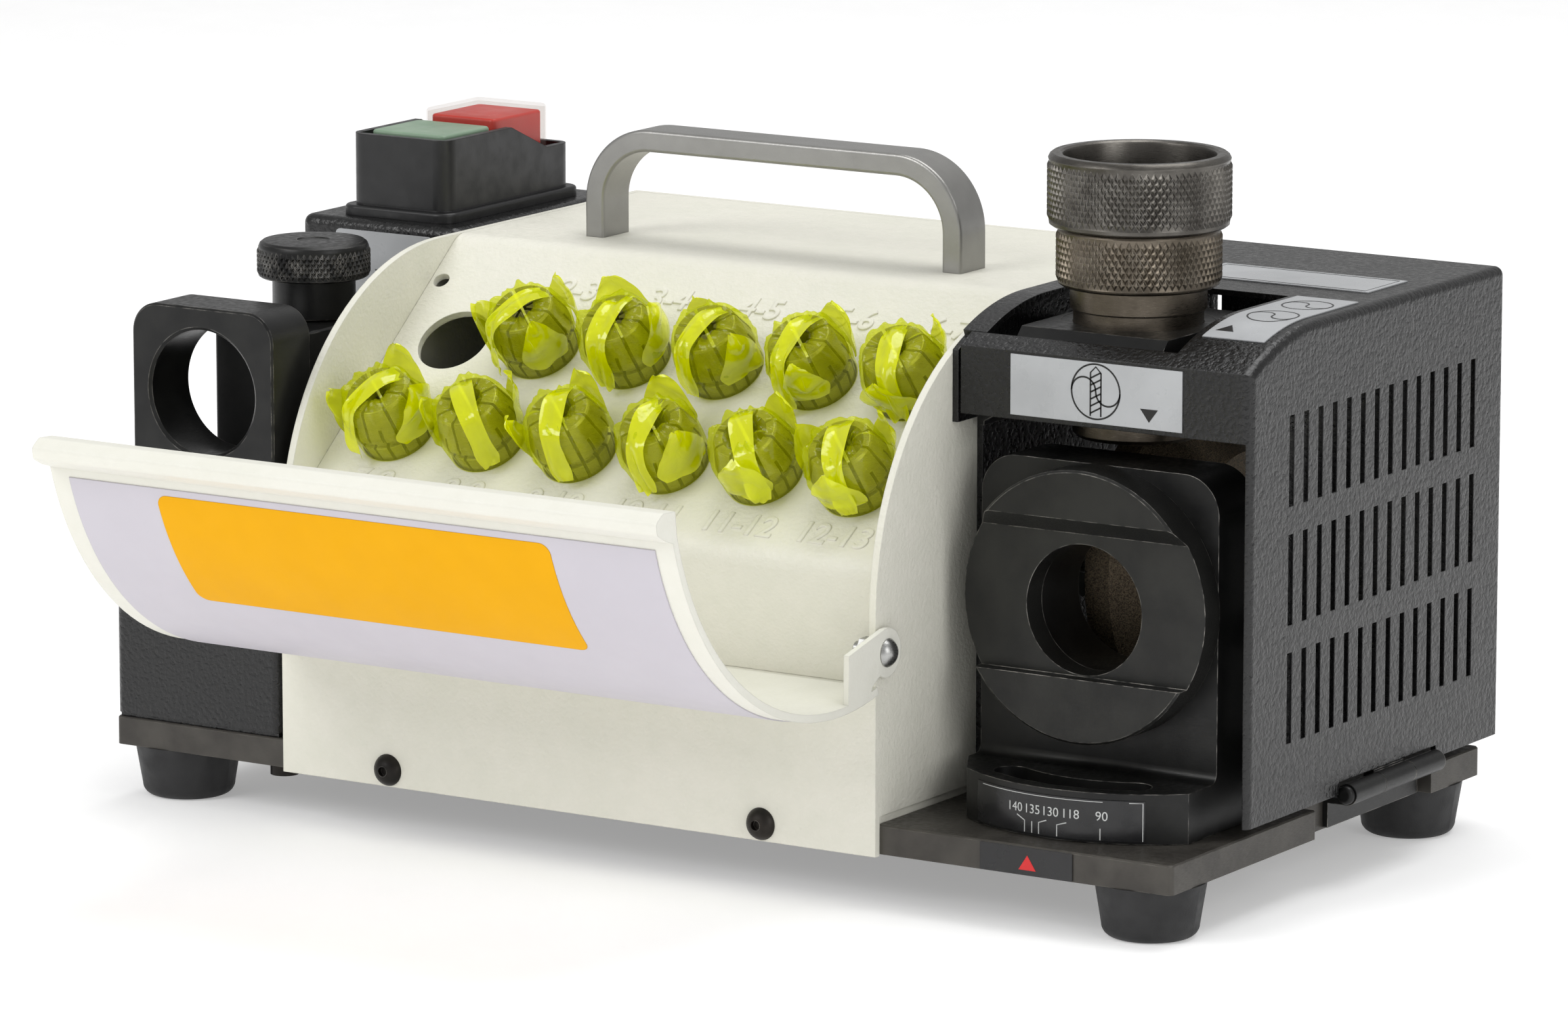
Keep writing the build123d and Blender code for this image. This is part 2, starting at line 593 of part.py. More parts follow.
def make_switch_hood():
    wall = 2.0
    with BuildPart() as hood:
        slab(
            (HOOD_X[0] - HOOD_FLANGE, HOOD_X[1] + HOOD_FLANGE), (HOOD_Y[0] - HOOD_FLANGE, HOOD_Y[1] + HOOD_FLANGE),
            (HOUSING_TOP, HOOD_Z1),
        )
        fillet(hood.edges().filter_by(Axis.Z), 5.0)
        fillet(hood.faces().sort_by(Axis.Z)[-1].edges(), 0.9)
        with BuildSketch(Plane.YZ.offset(HOOD_X[0])):
            with BuildLine():
                Polyline(
                    (HOOD_Y[0], HOUSING_TOP + 1), (HOOD_Y[0], HOOD_TOP), (40, HOOD_TOP), (57, HOOD_LOW),
                    (HOOD_Y[1], HOOD_LOW), (HOOD_Y[1], HOUSING_TOP + 1), close=True,
                )
            make_face()
        extrude(amount=HOOD_X[1] - HOOD_X[0])
        fillet(hood.edges().filter_by(Axis.Z).filter_by_position(Axis.Z, HOOD_Z1 + 1, 200), 4.5)
        slab(
            (HOOD_X[0] + wall, HOOD_X[1] - wall), (HOOD_Y[0] + wall, HOOD_Y[1] - wall),
            (HOUSING_TOP - 1, HOOD_TOP + 5), Mode.SUBTRACT,
        )
    keep(hood, "switch_hood")


def make_contact_block():
    with BuildPart() as block:
        slab(CONTACT_X, CONTACT_Y, CONTACT_Z)
        for ys in (GREEN_Y, RED_Y):
            rod_z(sum(BUTTON_X) / 2, sum(ys) / 2, BUTTON_STEM_R + 0.1, (136, CONTACT_Z[1] + 1), Mode.SUBTRACT)
    keep(block, "contact_block")


def make_green_button():
    with BuildPart() as button:
        slab(BUTTON_X, GREEN_Y, (154, GREEN_TOP))
        fillet(button.edges().filter_by(Axis.Z), 2.0)
        fillet(button.faces().sort_by(Axis.Z)[-1].edges(), 0.8)
        rod_z(sum(BUTTON_X) / 2, sum(GREEN_Y) / 2, BUTTON_STEM_R, (140, 155))
    keep(button, "green_button")


def make_red_button():
    inset = 1.5
    with BuildPart() as button:
        slab((BUTTON_X[0] + inset, BUTTON_X[1] - inset), (RED_Y[0] + inset, RED_Y[1] - inset), (153, RED_TOP - 1.8))
        fillet(button.edges().filter_by(Axis.Z), 1.5)
        fillet(button.faces().sort_by(Axis.Z)[-1].edges(), 0.8)
        slab(BUTTON_X, RED_Y, (153, 154.5))
        rod_z(sum(BUTTON_X) / 2, sum(RED_Y) / 2, BUTTON_STEM_R, (140, 154))
    keep(button, "red_button")
    with BuildPart() as shell:
        slab(BUTTON_X, RED_Y, (154.5, RED_TOP))
        fillet(shell.edges().filter_by(Axis.Z), 2.5)
        fillet(shell.faces().sort_by(Axis.Z)[-1].edges(), 1.2)
        slab((BUTTON_X[0] + 1, BUTTON_X[1] - 1), (RED_Y[0] + 1, RED_Y[1] - 1), (153, RED_TOP - 1), Mode.SUBTRACT)
    keep(shell, "red_button_cover")


def make_gland():
    x, z = GLAND_AT
    with BuildPart() as gland:
        with BuildSketch(Plane.XZ.offset(-BOX_Y1 - 4)):
            with Locations((x, z)):
                RegularPolygon(10.5, 6)
        extrude(amount=4)
        rod_y(x, z, 8.6, (BOX_Y1 + 4, BOX_Y1 + 12))
        fillet(gland.faces().sort_by(Axis.Y)[-1].edges(), 3.0)
        rod_y(x, z, GLAND_R, (BOX_Y1 - 8, BOX_Y1))
        with BuildSketch(Plane.XZ.offset(-BOX_Y1 + SHEET)):
            with Locations((x, z)):
                RegularPolygon(10.5, 6)
        extrude(amount=4)
        rod_y(x, z, 4.0, (BOX_Y1 - 9, BOX_Y1 + 13), Mode.SUBTRACT)
    keep(gland, "cable_gland")


# ---- stickers on the fixed body -------------------------------------------
def make_stickers():
    with BuildPart() as stickers:
        slab(DIAL_STICKER[0], (BOX_Y0 - LABEL_T, BOX_Y0), DIAL_STICKER[1])
        fillet(stickers.edges().filter_by(Axis.Y), 1.5)
        slab(PLATE_STICKER_X, (-PLATE_W / 2 - LABEL_T, -PLATE_W / 2), (PLATE_BOTTOM + 0.3, PLATE_TOP - 0.5))
    keep(stickers, "dial_stickers")


# ---- grinding compartment: bulkhead, cover, hinge --------------------------
def make_bulkhead():
    skin = COVER_R - COVER_T
    r_in = skin - 0.1
    front = COVER_FRONT + 0.5
    rise = degrees(asin((COVER_C[0] - front) / r_in))
    rim_front = degrees(asin((COVER_C[0] - OPENING_Y[0] - 0.3) / COVER_R))
    flat_end = OPENING_Y[1] - 0.3
    with BuildPart() as bulk:
        with BuildSketch(Plane.YZ.offset(HOUSING_X1)):
            with BuildLine():
                arc = CenterArc(COVER_C, r_in, 90, rise)
                Polyline(
                    arc @ 1, (front, COVER_BOTTOM), (COVER_REAR - 1.7, COVER_BOTTOM),
                    (COVER_REAR - 1.7, COVER_C[1] + r_in), arc @ 0,
                )
            make_face()
        extrude(amount=BULKHEAD_X1 - HOUSING_X1)
        notch_y, notch_z = BULKHEAD_NOTCH
        slab((HOUSING_X1 - 1, BULKHEAD_X1 + 1), (front - 1, notch_y), (COVER_BOTTOM - 1, notch_z), Mode.SUBTRACT)
        with BuildSketch(Plane.YZ.offset(HOUSING_X1)):
            with BuildLine():
                low = CenterArc(COVER_C, skin - 0.1, 90, rim_front)
                high = CenterArc(COVER_C, COVER_R, 90, rim_front)
                Line(low @ 1, high @ 1)
                Polyline(
                    low @ 0, (flat_end, COVER_C[1] + skin - 0.1), (flat_end, COVER_C[1] + COVER_R), high @ 0,
                )
            make_face()
        extrude(amount=OPENING_X[0] - HOUSING_X1)
        rod_x(MOTOR_Y, MOTOR_Z, SHAFT_PASS_R, (HOUSING_X1 - 1, BULKHEAD_X1 + 1), Mode.SUBTRACT)
    keep(bulk, "wheel_bulkhead")


def make_cover():
    with BuildPart() as cover:
        with BuildSketch(Plane.YZ.offset(COVER_X0)):
            with BuildLine():
                rise = degrees(asin((COVER_C[0] - COVER_FRONT) / COVER_R))
                arc = CenterArc(COVER_C, COVER_R, 90, rise)
                Polyline(
                    arc @ 1, (COVER_FRONT, COVER_BOTTOM), (COVER_REAR, COVER_BOTTOM),
                    (COVER_REAR, COVER_C[1] + COVER_R), arc @ 0,
                )
            make_face()
        extrude(amount=COVER_X1 - COVER_X0)
        outer = cover.faces().sort_by(Axis.X)[-1].edges().filter_by_position(Axis.Z, COVER_BOTTOM + 1, 200)
        back = cover.edges().filter_by(Axis.X).filter_by_position(Axis.Y, COVER_REAR - 1, COVER_REAR + 1)
        back = back.filter_by_position(Axis.Z, COVER_BOTTOM + 1, 200)
        fillet(outer + back, 2.4)
        with BuildSketch(Plane.YZ.offset(COVER_X0 - 1)):
            with BuildLine():
                r_in = COVER_R - COVER_T
                rise = degrees(asin((COVER_C[0] - COVER_FRONT - COVER_T) / r_in))
                arc = CenterArc(COVER_C, r_in, 90, rise)
                Polyline(
                    arc @ 1, (COVER_FRONT + COVER_T, COVER_BOTTOM - 1), (COVER_REAR - COVER_T, COVER_BOTTOM - 1),
                    (COVER_REAR - COVER_T, COVER_C[1] + r_in), arc @ 0,
                )
            make_face()
        extrude(amount=COVER_X1 - COVER_T - COVER_X0 + 1, mode=Mode.SUBTRACT)
        slab(
            (COVER_X0 - 1, COVER_X1 - COVER_T), (COVER_FRONT - 1, COVER_FRONT + COVER_T + 0.1),
            (COVER_BOTTOM - 1, STRIP_BOTTOM), Mode.SUBTRACT,
        )
        slab((COVER_X0 - 1, OPENING_X[1]), OPENING_Y, (130, 150), Mode.SUBTRACT)
        with BuildSketch(Plane.YZ.offset(COVER_X1 + 1)):
            with Locations((21.75, SLOT_Z)):
                with GridLocations(SLOT_PITCH, SLOT_ROW, 14, 3):
                    Rectangle(SLOT_W, SLOT_H)
        extrude(amount=-4, mode=Mode.SUBTRACT)
        with BuildSketch(Plane.XZ.offset(-COVER_REAR - 1)):
            with Locations((118.95, SLOT_Z)):
                with GridLocations(SLOT_PITCH, SLOT_ROW, 10, 3):
                    Rectangle(SLOT_W, SLOT_H)
        extrude(amount=4, mode=Mode.SUBTRACT)
        slab(
            (COVER_X1 - 4, COVER_X1 + 1), (HINGE_Y[0] - 2.5, HINGE_Y[1] + 1.5),
            (COVER_BOTTOM - 1, COVER_BOTTOM + 3.2), Mode.SUBTRACT,
        )
    keep(cover, "wheel_cover")


def make_cover_labels():
    with BuildPart() as labels:
        slab(STRIP_LABEL[0], (COVER_FRONT - LABEL_T, COVER_FRONT), STRIP_LABEL[1])
        top = COVER_C[1] + COVER_R
        slab(*TOP_LABEL, (top, top + LABEL_T))
        lean = degrees(asin((COVER_C[0] - SIDE_LABEL_Y[0]) / COVER_R))
        with BuildSketch(Plane.YZ.offset(SIDE_LABEL_X[0])):
            with BuildLine():
                low = CenterArc(COVER_C, COVER_R, 90, lean)
                high = CenterArc(COVER_C, COVER_R + LABEL_T, 90, lean)
                Line(low @ 1, high @ 1)
                Polyline(low @ 0, (SIDE_LABEL_Y[1], top), (SIDE_LABEL_Y[1], top + LABEL_T), high @ 0)
            make_face()
        extrude(amount=SIDE_LABEL_X[1] - SIDE_LABEL_X[0])
    keep(labels, "cover_labels")


def make_hinge():
    third = (HINGE_Y[1] - HINGE_Y[0]) / 3
    cuts = [HINGE_Y[0] + k * third for k in range(4)]
    x0 = HINGE_RECESS[0]
    tab_z = (HINGE_Z - HINGE_R, HINGE_Z - HINGE_R + 1.5)
    with BuildPart() as fixed:
        for a, b in ((cuts[0], cuts[1]), (cuts[2], cuts[3])):
            ys = (a + 0.15, b - 0.15)
            rod_y(HINGE_X, HINGE_Z, HINGE_R, ys)
            slab((x0, HINGE_X), ys, tab_z)
        slab((x0, x0 + 1.5), (HINGE_Y[0] + 0.15, HINGE_Y[1] - 0.15), (PLATE_BOTTOM + 0.5, tab_z[1]))
        rod_y(HINGE_X, HINGE_Z, 1.4, (HINGE_Y[0] - 1, HINGE_Y[1] + 1), Mode.SUBTRACT)
        rod_y(HINGE_X, HINGE_Z, HINGE_R + 0.4, (cuts[1] - 0.15, cuts[2] + 0.15), Mode.SUBTRACT)
    keep(fixed, "hinge_fixed_leaf")
    with BuildPart() as moving:
        ys = (cuts[1] + 0.15, cuts[2] - 0.15)
        rod_y(HINGE_X, HINGE_Z, HINGE_R, ys)
        inner = COVER_X1 - COVER_T
        slab((inner - 1.5, inner), (HINGE_Y[0], HINGE_Y[1]), (COVER_BOTTOM + 3.6, 44))
        slab((inner - 1.5, inner + 1.5), ys, (HINGE_Z + 0.4, COVER_BOTTOM + 4.0))
        slab((inner, inner + 1.5), ys, (COVER_BOTTOM + 3.0, COVER_BOTTOM + 5.0), Mode.SUBTRACT)
        rod_y(HINGE_X, HINGE_Z, 1.5, (HINGE_Y[0], HINGE_Y[1]), Mode.SUBTRACT)
    keep(moving, "hinge_moving_leaf")
    with BuildPart() as pin:
        rod_y(HINGE_X, HINGE_Z, 1.4, (HINGE_Y[0] - 1.6, HINGE_Y[1]))
        rod_y(HINGE_X, HINGE_Z, 2.4, (HINGE_Y[0] - 1.6, HINGE_Y[0] - 0.1))
        fillet(pin.faces().sort_by(Axis.Y)[0].edges(), 1.1)
    keep(pin, "hinge_pin")


# ---- swivelling front port -------------------------------------------------
def make_swivel_port():
    sx, sy = SWIVEL
    with BuildPart() as port:
        with BuildSketch(Plane.XY.offset(SWIVEL_Z0)):
            with Locations((sx, sy)):
                Circle(SWIVEL_R)
            with Locations((sum(PORT_X) / 2, (PORT_Y[1] - PLATE_W / 2) / 2)):
                Rectangle(PORT_X[1] - PORT_X[0], PORT_Y[1] + PLATE_W / 2, mode=Mode.INTERSECT)
            with Locations((sx, sy)):
                Circle(12)
        extrude(amount=SWIVEL_Z1 - SWIVEL_Z0)
        with BuildSketch(Plane.XY.offset(SWIVEL_Z0)) as corner:
            with BuildLine():
                Polyline((83, -45), (83, -75), (96, -75), (90.5, -61.5), (84.0, -50), close=True)
            make_face()
        extrude(amount=SWIVEL_Z1 - SWIVEL_Z0, mode=Mode.SUBTRACT)
        slab(PORT_X, PORT_Y, (SWIVEL_Z1 - 1, PORT_TOP))
        top = port.faces().sort_by(Axis.Z)[-1].edges().filter_by(Axis.Y)
        fillet(top, 10.0)
        foot = port.edges().filter_by(Axis.X).filter_by_position(Axis.Z, SWIVEL_Z1 - 0.01, SWIVEL_Z1 + 0.01)
        fillet(foot.filter_by_position(Axis.Y, PORT_Y[0] - 0.1, PORT_Y[0] + 0.1), 2.5)
        with BuildSketch(Plane.XY.offset(SWIVEL_Z1 + 6)):
            with BuildLine():
                arc = CenterArc((sx, sy), GUIDE_R, 270 - GUIDE_SWEEP / 2, GUIDE_SWEEP)
                offset(amount=4.5)
            make_face()
        extrude(amount=-20, mode=Mode.SUBTRACT)
        rod_y(PORT_BORE[0], PORT_BORE[1], PORT_R, (PORT_Y[0] - 1, PORT_Y[1] + 1), Mode.SUBTRACT)
        rod_z(sx, sy, PIVOT_STUD_R + 0.05, (SWIVEL_Z0 - 1, SWIVEL_Z1 + 1), Mode.SUBTRACT)
        rod_z(sx, sy, 8.4, (SWIVEL_Z1, SWIVEL_Z1 + 9), Mode.SUBTRACT)
    keep(port, "swivel_port")


def make_port_disc():
    cx, cz = DISC_C
    half = DISC_CHANNEL / 2
    with BuildPart() as disc:
        rod_y(cx, cz, DISC_R, (DISC_FRONT, PORT_Y[0]))
        chamfer(disc.faces().sort_by(Axis.Y)[0].edges(), 0.6)
        slab(
            (cx - DISC_R - 1, cx + DISC_R + 1), (DISC_FRONT - 1, DISC_FRONT + DISC_RECESS),
            (cz - half, cz + half), Mode.SUBTRACT,
        )
        with BuildSketch(Plane.YZ.offset(cx - DISC_R - 1)):
            with BuildLine():
                Polyline(
                    (DISC_FRONT - 1, cz + half - 1), (DISC_FRONT + DISC_RECESS, cz + half - 1),
                    (DISC_FRONT + DISC_RECESS, cz + half), (DISC_FRONT, cz + half + 4),
                    (DISC_FRONT - 1, cz + half + 4), close=True,
                )
            make_face()
        extrude(amount=2 * DISC_R + 2, mode=Mode.SUBTRACT)
        rod_y(PORT_BORE[0], PORT_BORE[1], PORT_R, (DISC_FRONT - 1, PORT_Y[0] + 1), Mode.SUBTRACT)
    keep(disc, "port_disc")


def make_angle_scale():
    with BuildPart() as scale:
        with BuildSketch(Plane.XY.offset(SWIVEL_Z0 + 0.6)):
            with BuildLine():
                outer = CenterArc(SWIVEL, SWIVEL_R + LABEL_T, SCALE_START, SCALE_SWEEP)
                inner = CenterArc(SWIVEL, SWIVEL_R, SCALE_START, SCALE_SWEEP)
                Line(outer @ 0, inner @ 0)
                Line(outer @ 1, inner @ 1)
            make_face()
        extrude(amount=SCALE_H)
    keep(scale, "angle_scale")


def make_swivel_studs():
    sx, sy = SWIVEL
    with BuildPart() as studs:
        rod_z(sx, sy, PIVOT_STUD_R, (STUD_BOTTOM, SWIVEL_Z1 + 0.3))
        rod_z(sx, sy, 8.0, (SWIVEL_Z1 + 0.3, SWIVEL_Z1 + 6))
        rod_z(sx, sy, 3.0, (SWIVEL_Z1 + 3, SWIVEL_Z1 + 7), Mode.SUBTRACT)
        rod_z(sx, sy - GUIDE_R, GUIDE_STUD_R, (STUD_BOTTOM, SWIVEL_Z0 + 0.5))
        rod_z(sx, sy - GUIDE_R, 4.1, (PLATE_TOP, 28))
    keep(studs, "swivel_studs")


# ---- top port and chuck ----------------------------------------------------
def make_top_shelf():
    x, y = CHUCK_AT
    slot_r = BUSH_R + 0.6
    with BuildPart() as shelf:
        slab((BULKHEAD_X1, SHELF_X1), SHELF_Y, (SHELF_Z0, TOP_PLATE_Z[0] - 0.1))
        with BuildSketch(Plane.XY.offset(125)):
            with Locations((x, y)):
                SlotOverall(2 * slot_r + 9, 2 * slot_r)
        extrude(amount=15, mode=Mode.SUBTRACT)
        for ys in ((SHELF_Y[0], SHELF_Y[0] + GUSSET_T), (SHELF_Y[1] - GUSSET_T, SHELF_Y[1])):
            with BuildSketch(Plane.XZ.offset(-ys[1])):
                with BuildLine():
                    Polyline(
                        (BULKHEAD_X1, GUSSET_Z0), (BULKHEAD_X1, SHELF_Z0 + 0.5), (GUSSET_X1, SHELF_Z0 + 0.5),
                        (GUSSET_X1, SHELF_Z0 - 1), close=True,
                    )
                make_face()
            extrude(amount=ys[1] - ys[0])
        slab((BULKHEAD_X1, BULKHEAD_X1 + SHEET), SHELF_Y, (GUSSET_Z0, SHELF_Z0 + 1))
    keep(shelf, "top_port_shelf")


def make_top_plate():
    x, y = CHUCK_AT
    with BuildPart() as plate:
        slab(TOP_PLATE_X, TOP_PLATE_Y, TOP_PLATE_Z)
        chamfer(plate.edges().filter_by(Axis.X).sort_by(Axis.Y)[:2].sort_by(Axis.Z)[-1], 2.5)
        rod_z(x, y, BUSH_R, (TOP_PLATE_Z[0] - 1, TOP_PLATE_Z[1] + 1), Mode.SUBTRACT)
    keep(plate, "top_port_plate")
    with BuildPart() as bush:
        rod_z(x, y, BUSH_R, (120, TOP_PLATE_Z[1] - 0.1))
        rod_z(x, y, PORT_R, (119, TOP_PLATE_Z[1] + 1), Mode.SUBTRACT)
    keep(bush, "top_port_bush")


def make_chuck():
    x, y = CHUCK_AT
    collar_r, collar_z0, collar_z1 = CHUCK_COLLAR
    ring_r, ring_z0, ring_z1 = CHUCK_LOWER_RING
    neck_r, neck_top = CHUCK_NECK
    (cone_r0, cone_z0), (cone_r1, cone_z1) = CHUCK_CONE
    with BuildPart() as body:
        rod_z(x, y, CHUCK_R, (CHUCK_Z0, collar_z0))
        chamfer(body.faces().sort_by(Axis.Z)[0].edges(), 1.0)
        rod_z(x, y, collar_r, (collar_z0, collar_z1))
        rod_z(x, y, ring_r, (ring_z0, ring_z1))
        chamfer(body.edges().filter_by(GeomType.CIRCLE).filter_by(lambda e: e.radius > neck_r + 1), 0.8)
        rod_z(x, y, neck_r, (ring_z1 - 1, neck_top))
        rod_z(x, y, CHUCK_BORE, (CHUCK_Z0 - 1, neck_top + 1), Mode.SUBTRACT)
        with BuildSketch(upright_plane(x, y)):
            with BuildLine():
                Polyline((0, cone_z0), (cone_r0, cone_z0), (cone_r1, cone_z1), (0, cone_z1), close=True)
            make_face()
        revolve(axis=Axis((x, y, 0), (0, 0, 1)), mode=Mode.SUBTRACT)
    keep(body, "chuck_body")
    with BuildPart() as collet:
        face_z = CHUCK_Z0 - 1.5
        with BuildSketch(upright_plane(x, y)):
            with BuildLine():
                Polyline(
                    (3.0, face_z), (8.6, face_z), (10.2, face_z + 0.9), (10.2, CHUCK_Z0 - 0.2),
                    (10.1, CHUCK_Z0), (6.9, cone_z1 - 1), (3.0, cone_z1 - 1), close=True,
                )
            make_face()
        revolve(axis=Axis((x, y, 0), (0, 0, 1)))
    keep(collet, "chuck_collet")
    with BuildPart() as nut:
        nut_r, nut_z0, nut_z1 = NUT_RING
        rod_z(x, y, nut_r, (nut_z0, nut_z1))
        chamfer(nut.edges().filter_by(GeomType.CIRCLE), 0.9)
        low = nut_z0 - 1
        for bore_r, top in NUT_BORES:
            rod_z(x, y, bore_r, (low, top), Mode.SUBTRACT)
            low = top - 0.4
    keep(nut, "chuck_nut")


# ---- motor -----------------------------------------------------------------
def make_motor():
    y = MOTOR_Y
    z = MOTOR_Z
    with BuildPart() as frame:
        rod_x(y, z, MOTOR_R, MOTOR_X)
        slab(MOTOR_FOOT_X, (y - 28, y + 28), (PLATE_TOP, 45))
        rod_x(y, z, MOTOR_BORE, (MOTOR_X[0] - 1, MOTOR_X[1] + 1), Mode.SUBTRACT)
    keep(frame, "motor_frame")
    with BuildPart() as stator:
        rod_x(y, z, MOTOR_BORE, STATOR_X)
        rod_x(y, z, STATOR_BORE, (STATOR_X[0] - 1, STATOR_X[1] + 1), Mode.SUBTRACT)
        for xs in ((STATOR_X[0] - WINDING_L, STATOR_X[0]), (STATOR_X[1], STATOR_X[1] + WINDING_L)):
            rod_x(y, z, WINDING_R[1], xs)
            rod_x(y, z, WINDING_R[0], xs, Mode.SUBTRACT)
        rod_x(y, z, STATOR_BORE, (STATOR_X[0] - 1, STATOR_X[1] + 1), Mode.SUBTRACT)
    keep(stator, "motor_stator")
    with BuildPart() as shields:
        for plate, hub, pocket, hole in SHIELDS:
            rod_x(y, z, MOTOR_R, plate)
            rod_x(y, z, HUB_R, hub)
            rod_x(y, z, BEARING_R, pocket, Mode.SUBTRACT)
            rod_x(y, z, SHAFT_HOLE_R, hole, Mode.SUBTRACT)
    keep(shields, "end_shields")
    with BuildPart() as bearings:
        for xs in BEARINGS_X:
            rod_x(y, z, BEARING_R, xs)
            rod_x(y, z, SHAFT_R, (xs[0] - 1, xs[1] + 1), Mode.SUBTRACT)
    keep(bearings, "motor_bearings")


def make_rotor():
    y = MOTOR_Y
    z = MOTOR_Z
    shaft_r = SHAFT_R - 0.05
    with BuildPart() as shaft:
        rod_x(y, z, shaft_r, (SHAFT_END, WHEEL_X[0]))
        rod_x(y, z, 12, (WHEEL_X[0] - 6, WHEEL_X[0]))
        rod_x(y, z, WHEEL_BORE, (WHEEL_X[0], WHEEL_X[1] + 9))
    keep(shaft, "rotor_shaft")
    with BuildPart() as core:
        rod_x(y, z, CORE_R, CORE_X)
        rod_x(y, z, shaft_r, (CORE_X[0] - 1, CORE_X[1] + 1), Mode.SUBTRACT)
    keep(core, "rotor_core")
    with BuildPart() as fan:
        rod_x(y, z, 12, FAN_X)
        rod_x(y, z, FAN_R, (FAN_X[1] - 2, FAN_X[1]))
        with Locations(Location((FAN_X[0] + 5, y, z), (0, 90, 0))):
            with PolarLocations(22, FAN_BLADES):
                Box(26, 1.6, 12)
        rod_x(y, z, shaft_r, (FAN_X[0] - 2, FAN_X[1] + 1), Mode.SUBTRACT)
    keep(fan, "cooling_fan")


def make_wheel():
    y = MOTOR_Y
    z = MOTOR_Z
    x0, x1 = WHEEL_X
    seat = x1 - WHEEL_RECESS
    inner, outer = WHEEL_FACE
    with BuildPart() as wheel:
        with BuildSketch(Plane(origin=(0, y, z), x_dir=(1, 0, 0), z_dir=(0, -1, 0))):
            with BuildLine():
                Polyline(
                    (x0, WHEEL_BORE), (x0, WHEEL_R), (x0 + WHEEL_RIM, WHEEL_R), (x1, outer), (x1, inner),
                    (seat, inner), (seat, WHEEL_BORE), close=True,
                )
            make_face()
        revolve(axis=Axis((0, y, z), (1, 0, 0)))
    keep(wheel, "grinding_wheel")
    with BuildPart() as nut:
        with BuildSketch(Plane.YZ.offset(seat)):
            with Locations((y, z)):
                RegularPolygon(11, 6)
        extrude(amount=9)
        rod_x(y, z, WHEEL_BORE, (seat - 1, x1 + 6), Mode.SUBTRACT)
    keep(nut, "wheel_nut")


# ---- collets ---------------------------------------------------------------
def make_collet(label, column, row, bore):
    """A spring collet standing in one hole of the tray, head up, slotted from both ends in turn."""
    spot = TRAY.from_local_coords((HOLE_X0 + column * HOLE_PITCH, row, 0))
    axis = Axis(spot, TRAY.z_dir)
    side = Plane(origin=spot, x_dir=(1, 0, 0), z_dir=Vector(1, 0, 0).cross(TRAY.z_dir))
    stand = Plane(origin=spot, x_dir=(1, 0, 0), z_dir=TRAY.z_dir)
    bore_r = bore / 2 + 0.4
    groove_r, groove_low, groove_high = COLLET_GROOVE
    head_r, head_low, head_high = COLLET_HEAD
    nose_r, top = COLLET_NOSE
    tail = COLLET_TAIL[1]
    turn = 180 / COLLET_SLOTS
    with BuildPart() as collet:
        with BuildSketch(side):
            with BuildLine():
                Polyline(
                    (bore_r, tail), COLLET_TAIL, COLLET_BAND, (groove_r, groove_low),
                    (groove_r, groove_high), (head_r, head_low), (head_r, head_high), (nose_r + 0.5, top - 0.6),
                    (nose_r, top), (bore_r, top), close=True,
                )
            make_face()
        revolve(axis=axis)
        with BuildSketch(stand.offset(top + 1)):
            with PolarLocations(7, COLLET_SLOTS):
                Rectangle(14, COLLET_SLOT_W)
        extrude(amount=COLLET_UPPER_SLOT - top - 1, mode=Mode.SUBTRACT)
        with BuildSketch(stand.offset(tail - 1)):
            with PolarLocations(7, COLLET_SLOTS, start_angle=turn):
                Rectangle(14, COLLET_SLOT_W)
        extrude(amount=COLLET_LOWER_SLOT - tail + 1, mode=Mode.SUBTRACT)
    keep(collet, label)


# ---- build everything ------------------------------------------------------
make_base_plate()
make_feet()
make_housing()
make_tray()
make_panel_screws()
make_lid()
make_lid_label()
make_pivot_screws()
make_handle()
make_left_case()
make_setting_block()
make_stop_post()
make_stop_knob()
make_switch_box()
make_switch_hood()
make_contact_block()
make_green_button()
make_red_button()
make_gland()
make_stickers()
make_bulkhead()
make_cover()
make_cover_labels()
make_hinge()
make_swivel_port()
make_port_disc()
make_angle_scale()
make_swivel_studs()
make_top_shelf()
make_top_plate()
make_chuck()
make_motor()
make_rotor()
make_wheel()
for name, column, row, bore in COLLETS:
    make_collet(name, column, row, bore)
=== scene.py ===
import math
import random

import bmesh
import bpy
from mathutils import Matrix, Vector, noise


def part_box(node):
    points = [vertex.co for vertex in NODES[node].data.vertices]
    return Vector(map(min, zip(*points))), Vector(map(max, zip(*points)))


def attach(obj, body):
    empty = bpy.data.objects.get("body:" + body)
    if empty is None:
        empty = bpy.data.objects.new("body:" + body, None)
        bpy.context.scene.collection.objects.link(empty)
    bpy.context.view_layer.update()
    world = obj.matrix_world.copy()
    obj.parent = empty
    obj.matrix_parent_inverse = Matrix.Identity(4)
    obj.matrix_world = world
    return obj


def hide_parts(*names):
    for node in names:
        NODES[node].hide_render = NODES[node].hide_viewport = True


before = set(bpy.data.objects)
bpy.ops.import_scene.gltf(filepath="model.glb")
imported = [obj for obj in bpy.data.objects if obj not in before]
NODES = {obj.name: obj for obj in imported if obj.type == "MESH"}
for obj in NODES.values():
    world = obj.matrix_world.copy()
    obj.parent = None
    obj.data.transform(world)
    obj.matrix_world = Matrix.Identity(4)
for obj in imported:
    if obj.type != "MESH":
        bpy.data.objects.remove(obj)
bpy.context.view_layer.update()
MM = 0.001

# ---- places and sizes, in metres, in the frame of the CAD model --------------
CAMERA_AT = (1.1444394, -1.8011423, 0.4927281)
CAMERA_YAW = 32.4907
CAMERA_PITCH = 10.9131
CAMERA_LENS = 192.13

